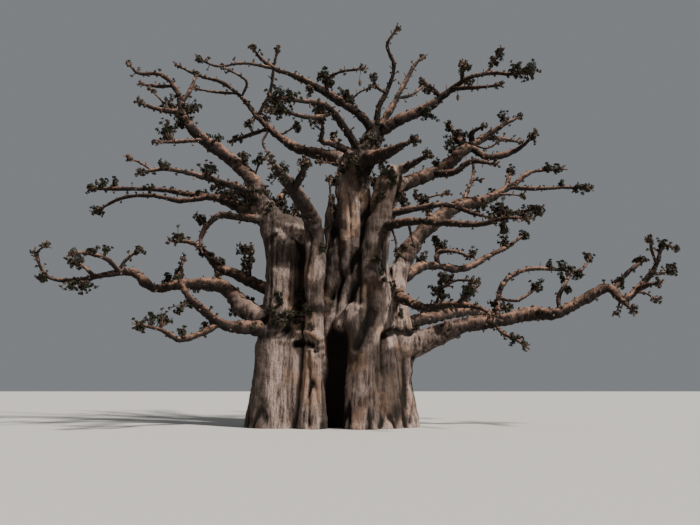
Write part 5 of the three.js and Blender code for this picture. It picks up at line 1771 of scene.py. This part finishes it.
class Finish:
    """One material and the nodes that it is written with."""

    def __init__(self, name):
        self.material = bpy.data.materials.new(name)
        self.material.use_nodes = True
        self.tree = self.material.node_tree
        self.shader = self.tree.nodes["Principled BSDF"]

    def node(self, kind, settings, inputs):
        """A node of a type, with its settings made first and its inputs set or linked."""
        node = self.tree.nodes.new(kind)
        for setting, value in settings.items():
            setattr(node, setting, value)
        for name, value in inputs.items():
            self.feed(node.inputs[name], value)
        return node

    def feed(self, socket, value):
        """Links a socket, or sets its constant."""
        if isinstance(value, Value):
            value = value.socket
        if isinstance(value, bpy.types.NodeSocket):
            self.tree.links.new(value, socket)
        else:
            socket.default_value = value

    def attribute(self, name):
        """A value stored on the mesh."""
        node = self.node("ShaderNodeAttribute", {"attribute_name": name}, {})
        return Value(self, node.outputs["Fac"])

    def upward(self):
        """How far the surface faces the sky, from -1 to 1."""
        facing = self.node("ShaderNodeNewGeometry", {}, {}).outputs["Normal"]
        return Value(self, self.node("ShaderNodeSeparateXYZ", {}, {"Vector": facing}).outputs["Z"])

    def place(self, scale):
        """Object coordinates, stretched."""
        spot = self.node("ShaderNodeTexCoord", {}, {}).outputs["Object"]
        return self.node("ShaderNodeMapping", {}, {"Vector": spot, "Scale": scale}).outputs["Vector"]

    def noise(self, scale, stretch=(1, 1, 1), detail=4, roughness=0.55):
        """Noise on object coordinates, from 0 to 1."""
        node = self.node(
            "ShaderNodeTexNoise", {},
            {"Vector": self.place(stretch), "Scale": scale, "Detail": detail, "Roughness": roughness},
        )
        return Value(self, node.outputs["Fac"])

    def between(self, value, low, high):
        """Where a value lies from low to high, as a smooth step from 0 to 1."""
        node = self.node(
            "ShaderNodeMapRange", {"interpolation_type": "SMOOTHSTEP", "clamp": True},
            {"Value": value, "From Min": low, "From Max": high},
        )
        return Value(self, node.outputs["Result"])

    def mix(self, share, first, second):
        """Two colours mixed by a share."""
        node = self.node("ShaderNodeMix", {"data_type": "RGBA"}, {})
        self.feed(node.inputs[0], share)
        self.feed(node.inputs[6], (*first, 1) if isinstance(first, tuple) else first)
        self.feed(node.inputs[7], (*second, 1) if isinstance(second, tuple) else second)
        return node.outputs[2]

    def bump(self, height, strength, distance):
        """A bump from a height, on the shader's normal."""
        inputs = {"Height": height, "Strength": strength, "Distance": distance}
        node = self.node("ShaderNodeBump", {}, inputs)
        self.feed(self.shader.inputs["Normal"], node.outputs["Normal"])


print("material tools ready")

# %% [markdown]
# ## Bark
#
# Old bark on the columns is grey with a pink and brown cast, in fine upright streaks. On the limbs it is
# redder. Shade is painted into both: nearly black in the grooves and creases, on the patches of the front
# where the crown's shadow falls, and under the limbs, with the tops painted lighter as if lit from above
# and dark blotches on the limbs for the crown's dappled shade. Both are one material that reads the
# measures kept on the mesh. How thick the wood is shades one bark into the other, how deep the relief
# went paints shade into the hollows, and the painted shade of the crown, its edge broken up by noise,
# darkens the patches on the front. The way the surface faces paints its upper side lighter and, on the
# limbs, its lower side darker.

# %% Bark material
COLUMN_LIGHT = (0.33, 0.247, 0.212)
COLUMN_MIDDLE = (0.17, 0.125, 0.107)
COLUMN_DARK = (0.04, 0.029, 0.025)
LIMB_LIGHT = (0.29, 0.165, 0.115)
LIMB_MIDDLE = (0.088, 0.051, 0.038)
LIMB_DARK = (0.017, 0.012, 0.01)
OCHRE = (0.3, 0.165, 0.09)
# The near-black of painted shade, and how far the crown's painted shade goes towards it.
PAINTED_SHADE_COLOUR = (0.013, 0.009, 0.007)
PAINTED_SHADE_STRENGTH = 0.7

bark = Finish("bark")
stout = bark.between(bark.attribute("girth"), 0.22, 0.62)
streaks = bark.noise(8.5, (1, 1, 0.12), 6, 0.68)
broad = bark.noise(2.2, (1, 1, 0.3), 4, 0.6)
grain = bark.noise(26, (1, 1, 0.4), 4, 0.65)
mottle = bark.noise(6.5, (1, 1, 1), 6, 0.7)
# Painted light: what faces the sky is made lighter, as if lit from above.
painted_top_light = bark.between(bark.upward(), -0.45, 0.75)
column_tone = streaks * 0.5 + broad * 0.2 + grain * 0.2 + painted_top_light * 0.1
column_colour = bark.mix(bark.between(column_tone, 0.4, 0.475), COLUMN_DARK, COLUMN_MIDDLE)
column_colour = bark.mix(bark.between(column_tone, 0.465, 0.545), column_colour, COLUMN_LIGHT)
limb_tone = mottle * 0.5 + broad * 0.25 + painted_top_light * 0.3
limb_colour = bark.mix(bark.between(limb_tone, 0.38, 0.54), LIMB_DARK, LIMB_MIDDLE)
limb_colour = bark.mix(bark.between(limb_tone, 0.55, 0.68), limb_colour, LIMB_LIGHT)
patches = bark.noise(0.9, (1, 1, 0.7), 4, 0.55)
column_colour = bark.mix(bark.between(patches, 0.5, 0.64) * 0.45, column_colour, OCHRE)
# Painted shade: the undersides of the limbs are darkened.
painted_underside_shade = 1 - bark.between(bark.upward(), -0.6, 0.2)
# Painted shade: dark blotches on the limbs stand in for the dappled shade of the crown.
painted_dapple_shade = bark.between(bark.noise(1.3, (1, 1, 1), 5, 0.62), 0.48, 0.6)
limb_colour = bark.mix(painted_dapple_shade * 0.6, limb_colour, LIMB_DARK)
limb_colour = bark.mix(painted_underside_shade * 0.88, limb_colour, LIMB_DARK)
colour = bark.mix(stout, limb_colour, column_colour)
# Painted shade of the crown on the patches of the front, its edge broken up by noise.
painted_shade_share = bark.between(bark.attribute("painted_shade") + (mottle - 0.5) * 1.2 + (streaks - 0.5) * 1.2, 0.12, 0.48)
colour = bark.mix(painted_shade_share * PAINTED_SHADE_STRENGTH, colour, PAINTED_SHADE_COLOUR)
# Painted shade in the hollows of the relief and the creases between columns.
colour = bark.mix(bark.between(bark.attribute("hollow_shade") + (grain - 0.5) * 0.3, 0.2, 0.95), colour, PAINTED_SHADE_COLOUR)
bark.feed(bark.shader.inputs["Base Color"], colour)
bark.feed(bark.shader.inputs["Roughness"], 0.8 + grain * 0.2)
bark.shader.inputs["Specular IOR Level"].default_value = 0.2
bark.bump(streaks * 0.9 + grain * 0.5 + mottle * 0.9, 1.0, 0.1)
print("bark:", len(bark.tree.nodes), "nodes")

# %% [markdown]
# ## Twigs and fruits
#
# The spurs have the dark brown of young wood with a paler mottle. The fruits are covered with short
# brown down, which gives them a soft, uneven look.

# %% Twig and fruit materials
TWIG_DARK = (0.045, 0.03, 0.024)
TWIG_LIGHT = (0.16, 0.105, 0.08)
DOWN_DARK = (0.035, 0.022, 0.012)
DOWN_LIGHT = (0.1, 0.062, 0.032)

young_bark = Finish("young_bark")
knotted = young_bark.noise(9, (1, 1, 1), 4, 0.6)
twig_colour = young_bark.mix(young_bark.between(knotted, 0.4, 0.62), TWIG_DARK, TWIG_LIGHT)
young_bark.feed(young_bark.shader.inputs["Base Color"], twig_colour)
young_bark.shader.inputs["Roughness"].default_value = 0.9
young_bark.shader.inputs["Specular IOR Level"].default_value = 0.2
young_bark.bump(knotted, 0.7, 0.02)

velvet = Finish("fruit_velvet")
down = velvet.noise(40, (1, 1, 0.5), 3, 0.6)
velvet.feed(velvet.shader.inputs["Base Color"], velvet.mix(down, DOWN_DARK, DOWN_LIGHT))
velvet.shader.inputs["Roughness"].default_value = 0.95
velvet.bump(down, 0.5, 0.004)
print("materials:", len(bpy.data.materials))

# %% [markdown]
# ## Handing the pieces to the tree
#
# Each new skin stands for the solids that it covers, and everything rides on the one body of the tree.

# %% Pieces and the frame
trunk_bark.data.materials.append(bark.material)
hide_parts("trunk")
for name, piece in limb_pieces.items():
    piece.data.materials.append(bark.material)
    own_nodes = [
        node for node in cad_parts
        if node in (f"{name}_twigs", f"{name}_bough", f"{name}_bough_1", f"{name}_bough_2")
    ]
    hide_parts(*own_nodes)
thin_limbs.data.materials.append(bark.material)
for piece, finish in (*[(piece, young_bark) for piece in spur_objects], (fruit_object, velvet)):
    piece.data.materials.append(finish.material)
for piece in (trunk_bark, *limb_pieces.values(), thin_limbs, *spur_objects, fruit_object, *leaf_objects):
    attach(piece, "root")
for mesh in (*spur_meshes.values(), *spray_meshes):
    bpy.data.meshes.remove(mesh)
